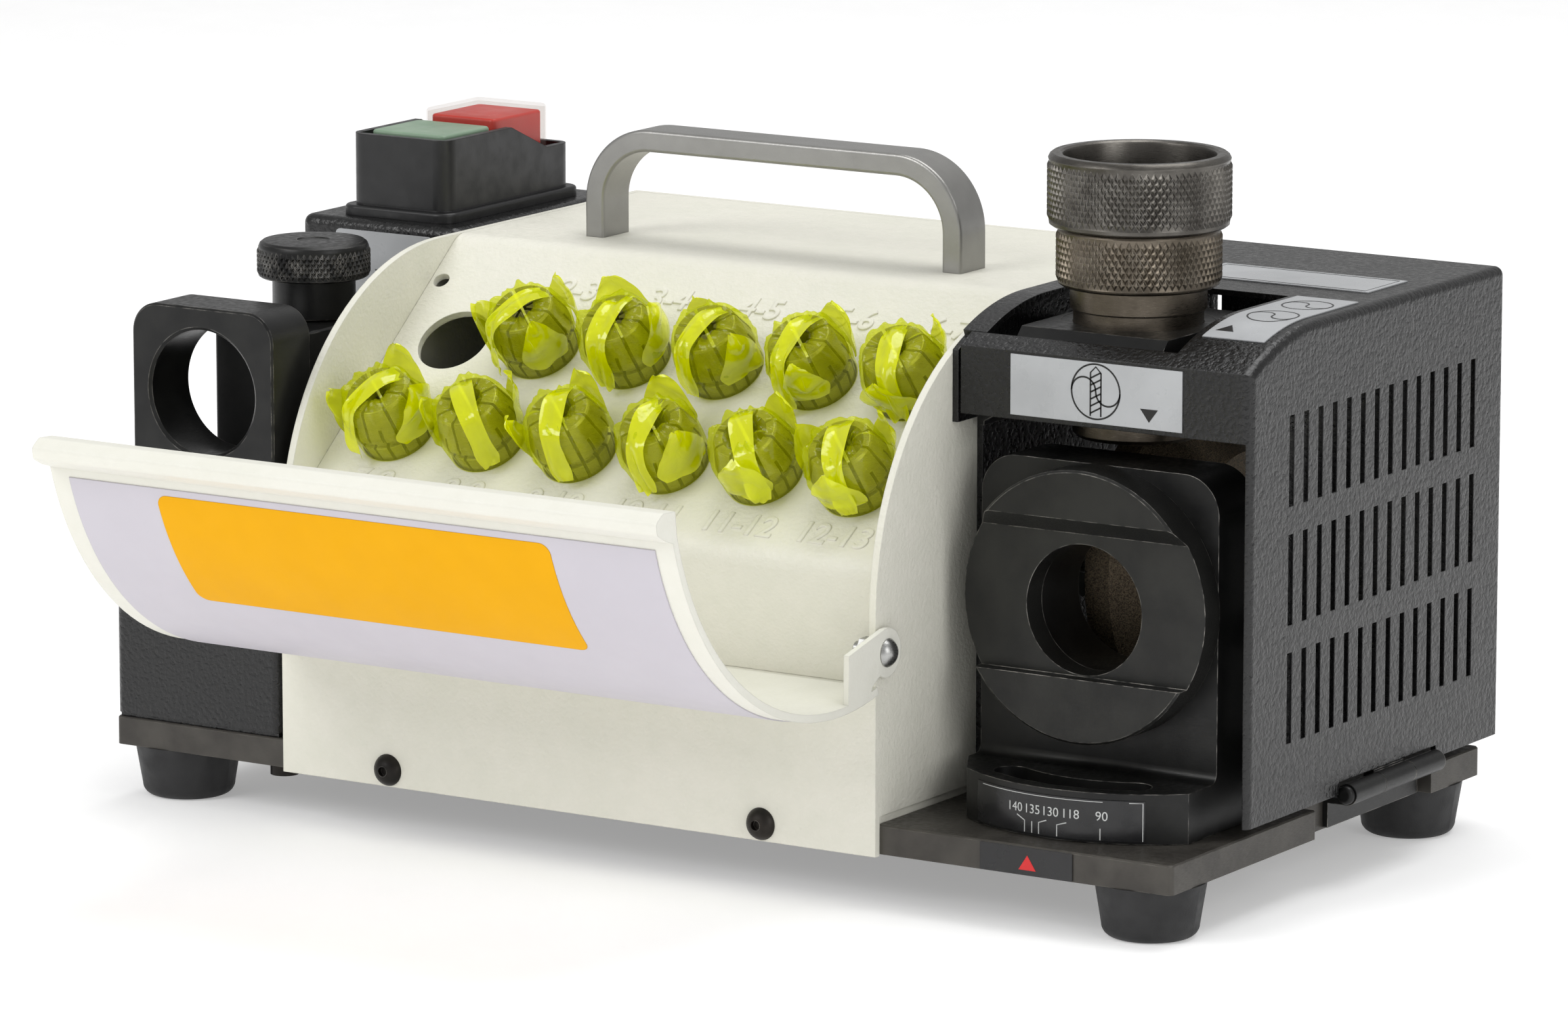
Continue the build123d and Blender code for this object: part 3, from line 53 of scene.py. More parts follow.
TRAY_ORIGIN = Vector((0, -66.6, 93.3)) * MM
TRAY_SLOPE = math.radians(39)
HOLE_X0 = -84.6 * MM
HOLE_PITCH = 28.2 * MM
ROW_LOW = 12.5 * MM
ROW_HIGH = 45.0 * MM
COLLET_ROWS = ((ROW_HIGH, 1, 2, 5), (ROW_LOW, 0, 7, 6))

LID_AXIS = (-102.9 * MM, 129.3 * MM)
LID_R = 76.2 * MM
GUARD_AXIS = (-11.6 * MM, 73.7 * MM)
GUARD_R = 73.0 * MM
SWIVEL_AT = (119.0 * MM, -22.0 * MM)
PORT_AXIS = (118.0 * MM, 75.5 * MM)

INK = 0.06 * MM

COLLET_R = 10.5 * MM
SHUT_LID_AXIS = (-12.2 * MM, 74.0 * MM)
SHUT_LID_R = 73.2 * MM
# Millimetres from a collet's axis and up from the tray, and half the width of a loose stretch.
FILM_PROFILE = (
    (10.5, 0.3), (10.6, 2.4), (10.7, 4.6), (10.8, 6.6), (11.0, 8.4), (10.6, 10.4), (9.9, 12.6),
    (9.1, 15.0), (7.9, 16.8), (5.8, 17.3), (3.6, 16.4), (2.2, 14.2), (1.4, 12.0),
)
PLEATS = 9
FILM_CORNER = (
    (11.0, 4.5, 6.5), (11.6, 8.5, 7.8), (12.6, 13.5, 6.2), (12.8, 18.0, 3.6), (12.0, 21.5, 0.6),
)
FILM_STRIP = (
    (-8.5, 15.5, 2.6), (-3.0, 18.3, 3.2), (3.5, 18.4, 3.1), (8.8, 17.0, 2.7), (11.2, 12.0, 2.6),
    (11.9, 6.5, 3.0), (12.1, 3.0, 2.2),
)

LABEL_T = 0.3 * MM
LID_PANEL_X = (-74.5 * MM, 42.3 * MM)
LID_PANEL_TURN = (198.7, 224.8)
STAMP_BELOW = -4.3 * MM
STAMP_ABOVE = 66 * MM
PLATE_STICKER_Y = -80.3 * MM
POINTER_X = 119.4 * MM
STRIP_LABEL_Y = -46.8 * MM
STRIP_SIGN = (118.3 * MM, 129.7 * MM, 6.9 * MM)
TOP_SIGN_X = 149.8 * MM
TOP_SIGN_R = 6.4 * MM
TOP_SIGN_Y = (("front", -14.0), ("rear", 3.5))
REAR_LABEL_BORDER = ((101.5, 30.5), (151.5, 30.5), (151.5, 48.5), (101.5, 48.5))
DIAL_STICKER_Y = 1.7 * MM
LINE = 0.4 * MM
SIGN_LINE = 0.42 * MM
# The swivel scale: each number's angle in degrees, and each mark's angle and its line's bend in millimetres.
SCALE_NUMBERS = (("140", -11.0), ("135", -4.7), ("130", 1.4), ("118", 7.9), ("90", 17.4))
SCALE_MARKS = ((-7.3, -2.4, 1.2), (-4.7, 0, 0.4), (-2.3, 2.2, 0.8), (3.7, 2.6, 0.8), (17.0, 0, 0))


def srgb(*levels):
    """The linear colour of an 8-bit display colour."""
    shares = [level / 255 for level in levels]
    return tuple(s / 12.92 if s < 0.0405 else ((s + 0.055) / 1.055) ** 2.4 for s in shares) + (1.0,)


# ---- materials ---------------------------------------------------------------
class Surface:
    """A material whose nodes end in one Principled shader."""

    def __init__(self, name, **sockets):
        self.material = bpy.data.materials.new(name)
        self.material.use_nodes = True
        self.tree = self.material.node_tree
        self.shader = self.tree.nodes["Principled BSDF"]
        self.place = self.add("ShaderNodeTexCoord").outputs["Object"]
        for key, value in sockets.items():
            self.shader.inputs[key.replace("_", " ")].default_value = value

    def add(self, kind, inputs=None, **settings):
        node = self.tree.nodes.new(kind)
        for key, value in settings.items():
            setattr(node, key, value)
        for key, value in (inputs or {}).items():
            self.feed(node.inputs[key], value)
        return node

    def feed(self, socket, value):
        if isinstance(value, bpy.types.NodeSocket):
            self.tree.links.new(value, socket)
        else:
            socket.default_value = value

    def set(self, key, value):
        self.feed(self.shader.inputs[key], value)

    def noise(self, size, detail=2.0, stretch=(1, 1, 1), contrast=0.5):
        """Noise whose lumps are about size metres across."""
        mapped = self.add("ShaderNodeMapping", {"Vector": self.place, "Scale": stretch})
        texture = {"Vector": mapped.outputs["Vector"], "Scale": 1 / size, "Detail": detail}
        return self.add("ShaderNodeTexNoise", {**texture, "Roughness": contrast}).outputs["Fac"]

    def between(self, value, low, high, start=0.35, end=0.65):
        """low to high, as value goes from start to end: two numbers or two colours."""
        if isinstance(low, tuple):
            ramp = self.add("ShaderNodeValToRGB", {"Fac": value})
            ramp.color_ramp.elements[0].position = start
            ramp.color_ramp.elements[1].position = end
            ramp.color_ramp.elements[0].color = low
            ramp.color_ramp.elements[1].color = high
            return ramp.outputs["Color"]
        spread = {"Value": value, "From Min": start, "From Max": end, "To Min": low, "To Max": high}
        return self.add("ShaderNodeMapRange", spread).outputs["Result"]

    def mix(self, share, first, second):
        """first where share is 0, second where it is 1."""
        node = self.add("ShaderNodeMix", data_type="RGBA")
        self.feed(node.inputs["Factor"], share)
        self.feed(node.inputs[6], first)
        self.feed(node.inputs[7], second)
        return node.outputs[2]

    def edges(self, radius, strength=1.0):
        """Near strength along sharp edges, and 0 elsewhere."""
        soft = self.add("ShaderNodeBevel", {"Radius": radius}, samples=4)
        true = self.add("ShaderNodeNewGeometry")
        dot = self.add("ShaderNodeVectorMath", operation="DOT_PRODUCT")
        self.feed(dot.inputs[0], soft.outputs["Normal"])
        self.feed(dot.inputs[1], true.outputs["Normal"])
        return self.between(dot.outputs["Value"], strength, 0.0, 0.86, 0.99)

    def bump(self, height, depth, strength=1.0, rounding=None):
        """Raises the surface by height times depth metres, with edges rounded in the shading."""
        node = self.add("ShaderNodeBump", {"Height": height, "Distance": depth, "Strength": strength})
        if rounding:
            soft = self.add("ShaderNodeBevel", {"Radius": rounding}, samples=4)
            self.feed(node.inputs["Normal"], soft.outputs["Normal"])
        self.set("Normal", node.outputs["Normal"])


def paint(name, dark, light, lump, depth, rough, blotch=30 * MM, rounding=0.4 * MM, **sockets):
    """A textured coat: faint patches of colour, and a grain of lumps."""
    surface = Surface(name, **sockets)
    grain = surface.noise(lump, 2.5)
    patches = surface.mix(0.5, surface.noise(blotch, 3), surface.noise(blotch / 6, 2))
    surface.set("Base Color", surface.between(patches, dark, light))
    surface.set("Roughness", surface.between(grain, rough[0], rough[1]))
    surface.bump(grain, depth, rounding=rounding)
    return surface.material


def machined(name, dark, light, rough, edge_wear_and_highlight, metallic, stretch=(1, 1, 30), edge_width=0.35 * MM, strength=0.8):
    """Blackened or uncoated steel: fine tool marks, patches, and light edges, partly metal rubbed bright by
    use and partly a painted highlight.
    """
    surface = Surface(name, Metallic=metallic)
    marks = surface.noise(1.6 * MM, 4, stretch)
    patches = surface.noise(9 * MM, 4)
    speck = surface.noise(0.5 * MM, 2)
    base = surface.between(patches, dark, light)
    # Lighter colour on sharp edges, in noisy patches: partly metal rubbed bright by use, partly a painted
    # edge highlight.
    edge_mark = surface.add("ShaderNodeMath", operation="MULTIPLY")
    surface.feed(edge_mark.inputs[0], surface.edges(edge_width, strength))
    surface.feed(edge_mark.inputs[1], surface.between(surface.noise(4 * MM, 5), 0.0, 1.0, 0.42, 0.62))
    surface.set("Base Color", surface.mix(edge_mark.outputs["Value"], base, edge_wear_and_highlight))
    surface.set("Roughness", surface.between(marks, rough[0], rough[1]))
    surface.bump(surface.mix(0.35, marks, speck), 0.02 * MM, rounding=0.25 * MM)
    return surface.material


def turned_face(name, dark, light, rough, centre, edge_wear_and_highlight):
    """Blackened steel with the rings of a facing cut about a level axis."""
    surface = Surface(name, Metallic=0.55)
    offset = surface.add("ShaderNodeVectorMath", {1: (centre[0], 0, centre[1])}, operation="SUBTRACT")
    surface.feed(offset.inputs[0], surface.place)
    flat = surface.add("ShaderNodeVectorMath", {1: (1, 0, 1)}, operation="MULTIPLY")
    surface.feed(flat.inputs[0], offset.outputs["Vector"])
    radius = surface.add("ShaderNodeVectorMath", operation="LENGTH")
    surface.feed(radius.inputs[0], flat.outputs["Vector"])
    rings = surface.add("ShaderNodeTexNoise", {"Scale": 1800.0, "Detail": 3.0}, noise_dimensions="1D")
    surface.feed(rings.inputs["W"], radius.outputs["Value"])
    grain = surface.noise(0.4 * MM, 2)
    base = surface.between(surface.noise(12 * MM, 4), dark, light)
    # Lighter colour on sharp edges, in noisy patches: partly metal rubbed bright by use, partly a painted
    # edge highlight.
    edge_mark = surface.add("ShaderNodeMath", operation="MULTIPLY")
    surface.feed(edge_mark.inputs[0], surface.edges(0.35 * MM, 0.9))
    surface.feed(edge_mark.inputs[1], surface.between(surface.noise(3 * MM, 4), 0.0, 1.0, 0.4, 0.6))
    surface.set("Base Color", surface.mix(edge_mark.outputs["Value"], base, edge_wear_and_highlight))
    surface.set("Roughness", surface.between(grain, rough[0], rough[1]))
    surface.bump(surface.mix(0.5, rings.outputs["Fac"], grain), 0.012 * MM, rounding=0.25 * MM)
    return surface.material


def plastic(name, dark, light, rough, lump=0.7 * MM, depth=0.01 * MM, **sockets):
    """Moulded plastic, rubber or printed film."""
    surface = Surface(name, **sockets)
    grain = surface.noise(lump, 2)
    surface.set("Base Color", surface.between(surface.noise(14 * MM, 4), dark, light))
    surface.set("Roughness", surface.between(surface.noise(5 * MM, 3), rough[0], rough[1]))
    surface.bump(grain, depth, rounding=0.3 * MM)
    return surface.material


def see_through(name, tint, base, rough, share, lump, depth):
    """Clear plastic or film: share of it shines, and the rest lets through what is behind."""
    surface = Surface(
        name, Base_Color=base, Roughness=rough, IOR=1.6, Coat_Weight=0.6, Coat_Roughness=0.06,
    )
    surface.bump(surface.noise(lump, 2), depth)
    clear = surface.add("ShaderNodeBsdfTransparent", {"Color": tint})
    blend = surface.add("ShaderNodeMixShader", {"Fac": share})
    surface.feed(blend.inputs[1], clear.outputs["BSDF"])
    surface.feed(blend.inputs[2], surface.shader.outputs["BSDF"])
    output = surface.tree.nodes["Material Output"]
    surface.feed(output.inputs["Surface"], blend.outputs["Shader"])
    return surface.material


def grit(name, dark, light):
    """Coarse abrasive grains on steel."""
    surface = Surface(name, Metallic=0.6)
    grain = surface.noise(0.35 * MM, 3, contrast=0.7)
    surface.set("Base Color", surface.between(grain, dark, light, 0.4, 0.62))
    surface.set("Roughness", surface.between(grain, 0.3, 0.65))
    surface.bump(grain, 0.2 * MM)
    return surface.material


# Light edge colour of the dark steels: partly metal rubbed bright by use, partly a painted edge highlight.
EDGE_WEAR_AND_HIGHLIGHT = srgb(176, 172, 165)
WHITE_PAINT = paint(
    "white_paint", srgb(222, 221, 208), srgb(227, 225, 213), 1.15 * MM, 0.2 * MM, (0.42, 0.6)
)
LID_PAINT = paint(
    "lid_paint", srgb(226, 225, 214), srgb(230, 229, 219), 0.9 * MM, 0.08 * MM, (0.38, 0.52)
)
BLACK_COAT = paint(
    "black_coat", srgb(11, 11, 12), srgb(16, 16, 16), 1.25 * MM, 0.32 * MM, (0.24, 0.38), 20 * MM
)
PLATE_PAINT = machined(
    "plate_paint", srgb(58, 55, 51), srgb(72, 69, 64), (0.36, 0.55), srgb(120, 116, 108), 0.35,
    (1, 1, 14)
)
BLACK_MACHINED = machined(
    "black_machined", srgb(18, 18, 18), srgb(30, 30, 29), (0.28, 0.44), EDGE_WEAR_AND_HIGHLIGHT, 0.4
)
DISC_STEEL = turned_face(
    "disc_steel", srgb(34, 34, 33), srgb(44, 44, 42), (0.34, 0.48), PORT_AXIS, EDGE_WEAR_AND_HIGHLIGHT
)
BLACK_FASTENER = machined(
    "black_fastener", srgb(30, 28, 26), srgb(52, 47, 42), (0.3, 0.5), EDGE_WEAR_AND_HIGHLIGHT, 0.7, edge_width=0.2 * MM
)
TOOL_STEEL = machined(
    "tool_steel", srgb(88, 81, 71), srgb(110, 102, 91), (0.26, 0.42), srgb(178, 172, 160), 0.95,
    (1, 1, 12), 0.2 * MM, 0.6
)
CHUCK_GREY = machined(
    "chuck_grey", srgb(80, 77, 73), srgb(102, 99, 94), (0.26, 0.42), srgb(176, 173, 168), 0.95,
    (1, 1, 12), 0.2 * MM, 0.6
)
BRIGHT_STEEL = machined(
    "bright_steel", srgb(150, 150, 148), srgb(178, 178, 176), (0.22, 0.36), srgb(220, 220, 218), 0.95
)
COLLET_STEEL = machined(
    "collet_steel", srgb(132, 128, 112), srgb(166, 162, 146), (0.26, 0.42), srgb(214, 212, 204), 0.8
)
ALUMINIUM = paint(
    "satin_aluminium", srgb(150, 149, 146), srgb(158, 157, 154), 0.3 * MM, 0.012 * MM, (0.3, 0.4),
    Metallic=0.9
)
RUBBER = plastic("foot_rubber", srgb(20, 20, 21), srgb(27, 27, 28), (0.5, 0.66), 0.5 * MM, 0.03 * MM)
BLACK_PLASTIC = plastic("black_plastic", srgb(16, 16, 17), srgb(21, 21, 22), (0.3, 0.44))
GREEN_PLASTIC = plastic("green_plastic", srgb(118, 143, 120), srgb(132, 156, 132), (0.3, 0.42))
RED_PLASTIC = plastic("red_plastic", srgb(206, 30, 14), srgb(216, 40, 20), (0.3, 0.4))
LILAC_LABEL = plastic("lilac_label", srgb(197, 193, 201), srgb(199, 195, 203), (0.4, 0.46), depth=0.0)
YELLOW_PRINT = plastic(
    "yellow_print", srgb(232, 168, 0), srgb(235, 171, 2), (0.5, 0.56), depth=0.0, Specular_IOR_Level=0.12
)
GREY_LABEL = plastic(
    "grey_label", srgb(168, 170, 172), srgb(178, 180, 182), (0.26, 0.36), depth=0.004 * MM
)
BLACK_PRINT = plastic("black_print", srgb(18, 18, 19), srgb(26, 26, 27), (0.3, 0.4))
SCALE_FILM = plastic("scale_film", srgb(20, 20, 22), srgb(28, 28, 30), (0.18, 0.3))
WHITE_PRINT = plastic("white_print", srgb(214, 216, 214), srgb(224, 226, 224), (0.35, 0.45))
RED_PRINT = plastic("red_print", srgb(206, 28, 30), srgb(216, 38, 38), (0.35, 0.45))
CLEAR_PLASTIC = see_through(
    "clear_plastic", (0.98, 0.97, 0.96, 1), srgb(150, 140, 136), 0.06, 0.09, 20 * MM, 0.02 * MM
)
YELLOW_FILM = see_through(
    "yellow_film", (0.90, 0.93, 0.36, 1), srgb(238, 244, 0), 0.06, 0.22, 3.0 * MM, 0.35 * MM
)
FOLDED_FILM = see_through(
    "folded_film", (0.92, 0.95, 0.14, 1), srgb(242, 248, 0), 0.08, 0.62, 3.0 * MM, 0.35 * MM
)
MOTOR_IRON = paint(
    "motor_iron", srgb(96, 98, 101), srgb(112, 114, 117), 0.8 * MM, 0.05 * MM, (0.4, 0.55)
)
WINDING = machined(
    "winding", srgb(150, 92, 46), srgb(176, 112, 60), (0.3, 0.45), EDGE_WEAR_AND_HIGHLIGHT, 0.6, (30, 1, 1)
)
WHEEL_GRIT = grit("wheel_grit", srgb(74, 64, 52), srgb(158, 142, 118))

NODE_MATERIALS = {
    WHITE_PAINT: ("main_housing", "collet_tray"),
    LID_PAINT: ("front_lid",),
    LILAC_LABEL: ("lid_label",),
    PLATE_PAINT: ("base_plate",),
    RUBBER: ("rubber_feet",),
    BLACK_FASTENER: ("foot_screws", "panel_screws", "handle_screws", "swivel_studs"),
    BRIGHT_STEEL: ("lid_pivot_screws", "motor_bearings", "rotor_shaft", "wheel_nut"),
    ALUMINIUM: ("carry_handle",),
    BLACK_COAT: ("left_case", "switch_box", "wheel_cover", "wheel_bulkhead"),
    BLACK_MACHINED: (
        "setting_block", "stop_post", "stop_knob", "hinge_fixed_leaf", "hinge_moving_leaf",
        "hinge_pin", "swivel_port", "top_port_shelf", "top_port_plate", "top_port_bush",
    ),
    DISC_STEEL: ("port_disc",),
    BLACK_PLASTIC: ("switch_hood", "contact_block", "cable_gland", "cooling_fan"),
    GREEN_PLASTIC: ("green_button",),
    RED_PLASTIC: ("red_button",),
    CLEAR_PLASTIC: ("red_button_cover",),
    GREY_LABEL: ("dial_stickers", "cover_labels"),
    SCALE_FILM: ("angle_scale",),
    TOOL_STEEL: ("chuck_body", "chuck_collet"),
    CHUCK_GREY: ("chuck_nut",),
    MOTOR_IRON: ("motor_frame", "end_shields"),
    WINDING: ("motor_stator", "rotor_core"),
    WHEEL_GRIT: ("grinding_wheel",),
    COLLET_STEEL: tuple(name for name in NODES if name.startswith("collet_") and name != "collet_tray"),
}


def dress(thing, material):
    """Gives every part of a thing one material."""
    if not thing.data.materials:
        thing.data.materials.append(material)
    for place in thing.material_slots:
        place.material = material


for material, names in NODE_MATERIALS.items():
    for name in names:
        dress(NODES[name], material)


# ---- mesh helpers --------------------------------------------------------------
def piece(name, bm, body, material, smooth=35):
    """A finished piece from a bmesh, riding on a body."""
    bmesh.ops.recalc_face_normals(bm, faces=bm.faces)
    mesh = bpy.data.meshes.new(name)
    bm.to_mesh(mesh)
    bm.free()
    mesh.shade_smooth()
    mesh.set_sharp_from_angle(angle=math.radians(smooth))
    thing = bpy.data.objects.new(name, mesh)
    bpy.context.scene.collection.objects.link(thing)
    dress(thing, material)
    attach(thing, body)
    return thing


def print_on(name, faces, place, body, material, thickness=INK):
    """A thin printed shape: flat faces of (u, v) points, thickened and laid on a surface by place."""
    bm = bmesh.new()
    corners = {}
    for face in faces:
        ring = []
        for u, v in face:
            key = (round(u, 7), round(v, 7))
            if key not in corners:
                corners[key] = bm.verts.new((u, v, 0))
            ring.append(corners[key])
        bm.faces.new(ring)
    bmesh.ops.recalc_face_normals(bm, faces=bm.faces)
    for face in bm.faces:
        if face.normal.z < 0:
            face.normal_flip()
    raised = bmesh.ops.extrude_face_region(bm, geom=list(bm.faces), use_keep_orig=True)
    for item in raised["geom"]:
        if isinstance(item, bmesh.types.BMVert):
            item.co.z = thickness
    for vertex in bm.verts:
        vertex.co = place(*vertex.co)
    return piece(name, bm, body, material)


def grid(u0, u1, v0, v1, columns, rows, corner=0.0):
    """A rectangle of quads, with its corners rounded by pulling the end columns in."""
    us = [u0 + (u1 - u0) * i / columns for i in range(columns + 1)]
    if corner:
        steps = 6
        nose = [corner * (1 - math.cos(math.pi / 2 * i / steps)) for i in range(steps)]
        us = [u0 + n for n in nose] + us[1:-1] + [u1 - n for n in reversed(nose)]
        us = sorted(u for u in us if u0 <= u <= u1)
    faces = []

    def reach(u):
        if not corner:
            return 0.0
        near = min(u - u0, u1 - u)
        return corner - math.sqrt(max(corner**2 - max(corner - near, 0) ** 2, 0))

    for left, right in zip(us, us[1:]):
        for j in range(rows):
            quad = []
            for u, k in ((left, j), (right, j), (right, j + 1), (left, j + 1)):
                low, high = v0 + reach(u), v1 - reach(u)
                quad.append((u, low + (high - low) * k / rows))
            faces.append(quad)
    return faces


def stroke(points, width, closed=False):
    """Quads along a line of (u, v) points."""
    count = len(points)
    sides = []
    for i, (u, v) in enumerate(points):
        before = points[i - 1] if closed or i else points[i]
        after = points[(i + 1) % count] if closed or i < count - 1 else points[i]
        du, dv = after[0] - before[0], after[1] - before[1]
        size = math.hypot(du, dv)
        nu, nv = -dv / size * width / 2, du / size * width / 2
        sides.append(((u + nu, v + nv), (u - nu, v - nv)))
    faces = []
    for i in range(count if closed else count - 1):
        a, b = sides[i], sides[(i + 1) % count]
        faces.append((a[0], a[1], b[1], b[0]))
    return faces


def circle(u, v, radius, steps=48):
    return [
        (u + radius * math.cos(2 * math.pi * i / steps), v + radius * math.sin(2 * math.pi * i / steps))
        for i in range(steps)
    ]


def arc(u, v, radius, start, end, steps=14):
    """Points along a circle between two angles in degrees."""
    angles = [math.radians(start + (end - start) * i / steps) for i in range(steps + 1)]
    return [(u + radius * math.cos(a), v + radius * math.sin(a)) for a in angles]


def lettering(text, height, slant=0.0, thickness=INK, bevel=0.0):
    """The mesh of a number, centred on its origin, as tall as height."""
    curve = bpy.data.curves.new(text, "FONT")
    curve.body = text
    curve.size = height / 0.7
    curve.align_x = "CENTER"
    curve.align_y = "CENTER"
    curve.shear = slant
    curve.extrude = thickness / 2
    curve.bevel_depth = bevel
    curve.bevel_resolution = 2
    curve.resolution_u = 6
    holder = bpy.data.objects.new(text, curve)
    bpy.context.scene.collection.objects.link(holder)
    bpy.context.view_layer.update()
    mesh = bpy.data.meshes.new_from_object(holder.evaluated_get(bpy.context.evaluated_depsgraph_get()))
    bpy.data.objects.remove(holder)
    return mesh


def number(name, text, height, at, place, body, slot, material, **shape):
    """A number laid on a surface by place, centred on at, its lower half sunk in."""
    mesh = lettering(text, height, **shape)
    bm = bmesh.new()
    bm.from_mesh(mesh)
    bpy.data.meshes.remove(mesh)
    bmesh.ops.remove_doubles(bm, verts=bm.verts, dist=0.001 * MM)
    for vertex in bm.verts:
        u, v, h = vertex.co
        vertex.co = place(at[0] + u, at[1] + v, h)
    return piece(name, bm, body, material)


# ---- the surfaces that prints lie on -------------------------------------------
def on_tray(x, slope, height):
    """A point of the sloping tray: along X, up the slope, and off the surface."""
    rise = Vector((0, math.cos(TRAY_SLOPE), math.sin(TRAY_SLOPE)))
    normal = Vector((0, -math.sin(TRAY_SLOPE), math.cos(TRAY_SLOPE)))
    return TRAY_ORIGIN + Vector((x, 0, 0)) + rise * slope + normal * height


def on_lid(x, turn, height):
    """A point of the lid's outside: along X, and at an angle in radians about its axis."""
    radius = LID_R + height
    return Vector((x, LID_AXIS[0] + radius * math.cos(turn), LID_AXIS[1] + radius * math.sin(turn)))


def on_guard(x, y, height):
    """A point of the guard's top, which curves down in front."""
    if y >= GUARD_AXIS[0]:
        return Vector((x, y, GUARD_AXIS[1] + GUARD_R + height))
    turn = (GUARD_AXIS[0] - y) / GUARD_R
    radius = GUARD_R + height
    return Vector((x, GUARD_AXIS[0] - radius * math.sin(turn), GUARD_AXIS[1] + radius * math.cos(turn)))


def on_front(y):
    """An upright surface at y that faces the front."""
    return lambda x, z, height: Vector((x, y - height, z))


SCALE_R = SWIVEL_AT[1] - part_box("angle_scale")[0].y


def on_scale(turn, z, height):
    """A point of the swivel scale: its angle in degrees from straight ahead, to the right."""
    angle = math.radians(turn - 90)
    radius = SCALE_R + height
    return Vector((SWIVEL_AT[0] + radius * math.cos(angle), SWIVEL_AT[1] + radius * math.sin(angle), z))


# ---- knurled turnings ------------------------------------------------------------
def turned(name, centre, outline, columns, body, material, replaced):
    """A closed turning about an upright axis. The outline goes round its section. A point is
    (radius, z), and a knurled band is (radius, z from, z to, rows of half diamonds, depth)."""
    bm = bmesh.new()
    rings = []

    def ring(radius, z):
        verts = []
        for i in range(columns):
            angle = 2 * math.pi * i / columns
            x, y = centre[0] + radius * math.cos(angle), centre[1] + radius * math.sin(angle)
            verts.append(bm.verts.new((x, y, z)))
        return verts

    def skin(low, high):
        for i in range(columns):
            j = (i + 1) % columns
            bm.faces.new((low[i], low[j], high[j], high[i]))

    def raised(corner, middle, radius):
        """A point of a diamond's flat top, part of the way out to one of its corners."""
        point = middle.lerp(corner.co, 0.3)
        flat = Vector((point.x - centre[0], point.y - centre[1], 0)).normalized() * radius
        return bm.verts.new((centre[0] + flat.x, centre[1] + flat.y, point.z))

    def diamonds(band, radius):
        rows = len(band) - 1
        for j in range(rows + 1):
            for i in range((j + 1) % 2, columns, 2):
                left, right = band[j][i - 1], band[j][(i + 1) % columns]
                if j in (0, rows):
                    tip = band[1][i] if j == 0 else band[rows - 1][i]
                    bm.faces.new((left, band[j][i], tip))
                    bm.faces.new((band[j][i], right, tip))
                    continue
                around = (left, band[j - 1][i], right, band[j + 1][i])
                middle = band[j][i].co.copy()
                top = [raised(corner, middle, radius) for corner in around]
                for k in range(4):
                    n = (k + 1) % 4
                    bm.faces.new((around[k], around[n], top[n], top[k]))
                bm.faces.new(top)

    for item in outline:
        if len(item) == 2:
            rings.append(ring(item[0] * MM, item[1] * MM))
            if len(rings) > 1:
                skin(rings[-2], rings[-1])
            continue
        radius, z0, z1, rows, depth = item
        band = []
        for j in range(rows + 1):
            band.append(ring((radius - depth) * MM, (z0 + (z1 - z0) * j / rows) * MM))
        if rings:
            skin(rings[-1], band[0])
        diamonds(band, radius * MM)
        rings.append(band[-1])
    skin(rings[-1], rings[0])
    loose = [v for v in bm.verts if not v.link_faces]
    bmesh.ops.delete(bm, geom=loose, context="VERTS")
    made = piece(name, bm, body, material, smooth=28)
    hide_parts(replaced)
    return made


def centre_of(node):
    low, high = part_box(node)
    return (low + high) / 2


def make_chuck():
    """The two knurled rings of the drill chuck."""
    axis = centre_of("chuck_nut")
    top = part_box("chuck_nut")[1].z / MM
    body_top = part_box("chuck_body")[1].z / MM
    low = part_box("chuck_body")[0].z / MM
    turned(
        "chuck_upper_ring", axis,
        (
            (18.0, 166.2), (21.9, 166.2), (22.6, 166.7), (22.7, 167.6), (23.15, 167.7, 182.4, 10, 0.5),
            (22.75, 182.6), (22.9, 183.2), (22.5, 184.0), (21.8, top), (20.0, top), (19.3, top - 0.4),
            (19.1, top - 1.0), (19.1, 174.4), (18.0, 174.4),
        ),
        156, "chuck_ring", CHUCK_GREY, "chuck_nut",
    )
    turned(
        "chuck_lower_ring", axis,
        (
            (10.7, low), (15.4, low), (16.4, low + 1), (16.4, 145.2), (17.0, 145.3), (17.2, 145.6),
            (17.2, 150.9), (17.0, 151.2), (19.5, 151.2), (20.2, 151.7), (20.4, 152.2),
            (20.85, 152.3, 164.9, 8, 0.5), (20.4, 165.1), (20.2, 165.7), (19.8, 166.0), (17.9, 166.0),
            (17.9, body_top), (7.0, body_top), (7.2, 139.0),
        ),
        140, "chuck", TOOL_STEEL, "chuck_body",
    )


def make_stop_knob():
    low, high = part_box("stop_knob")
    axis = (low + high) / 2
    top = high.z / MM
    foot = low.z / MM
    turned(
        "stop_knob_grip", axis,
        (
            (0.05, foot), (6.0, foot), (6.0, 123.8), (10.6, 123.8), (11.0, 124.2), (11.0, top - 9.7),
            (14.0, top - 9.7), (14.6, top - 9.3), (15.0, top - 9.1, top - 1.9, 6, 0.42),
            (14.6, top - 1.6), (14.2, top - 0.7), (13.4, top - 0.1), (12.6, top), (4.5, top),
            (4.2, top - 0.3), (0.05, top - 0.3),
        ),
        112, "depth_knob", BLACK_MACHINED, "stop_knob",
    )


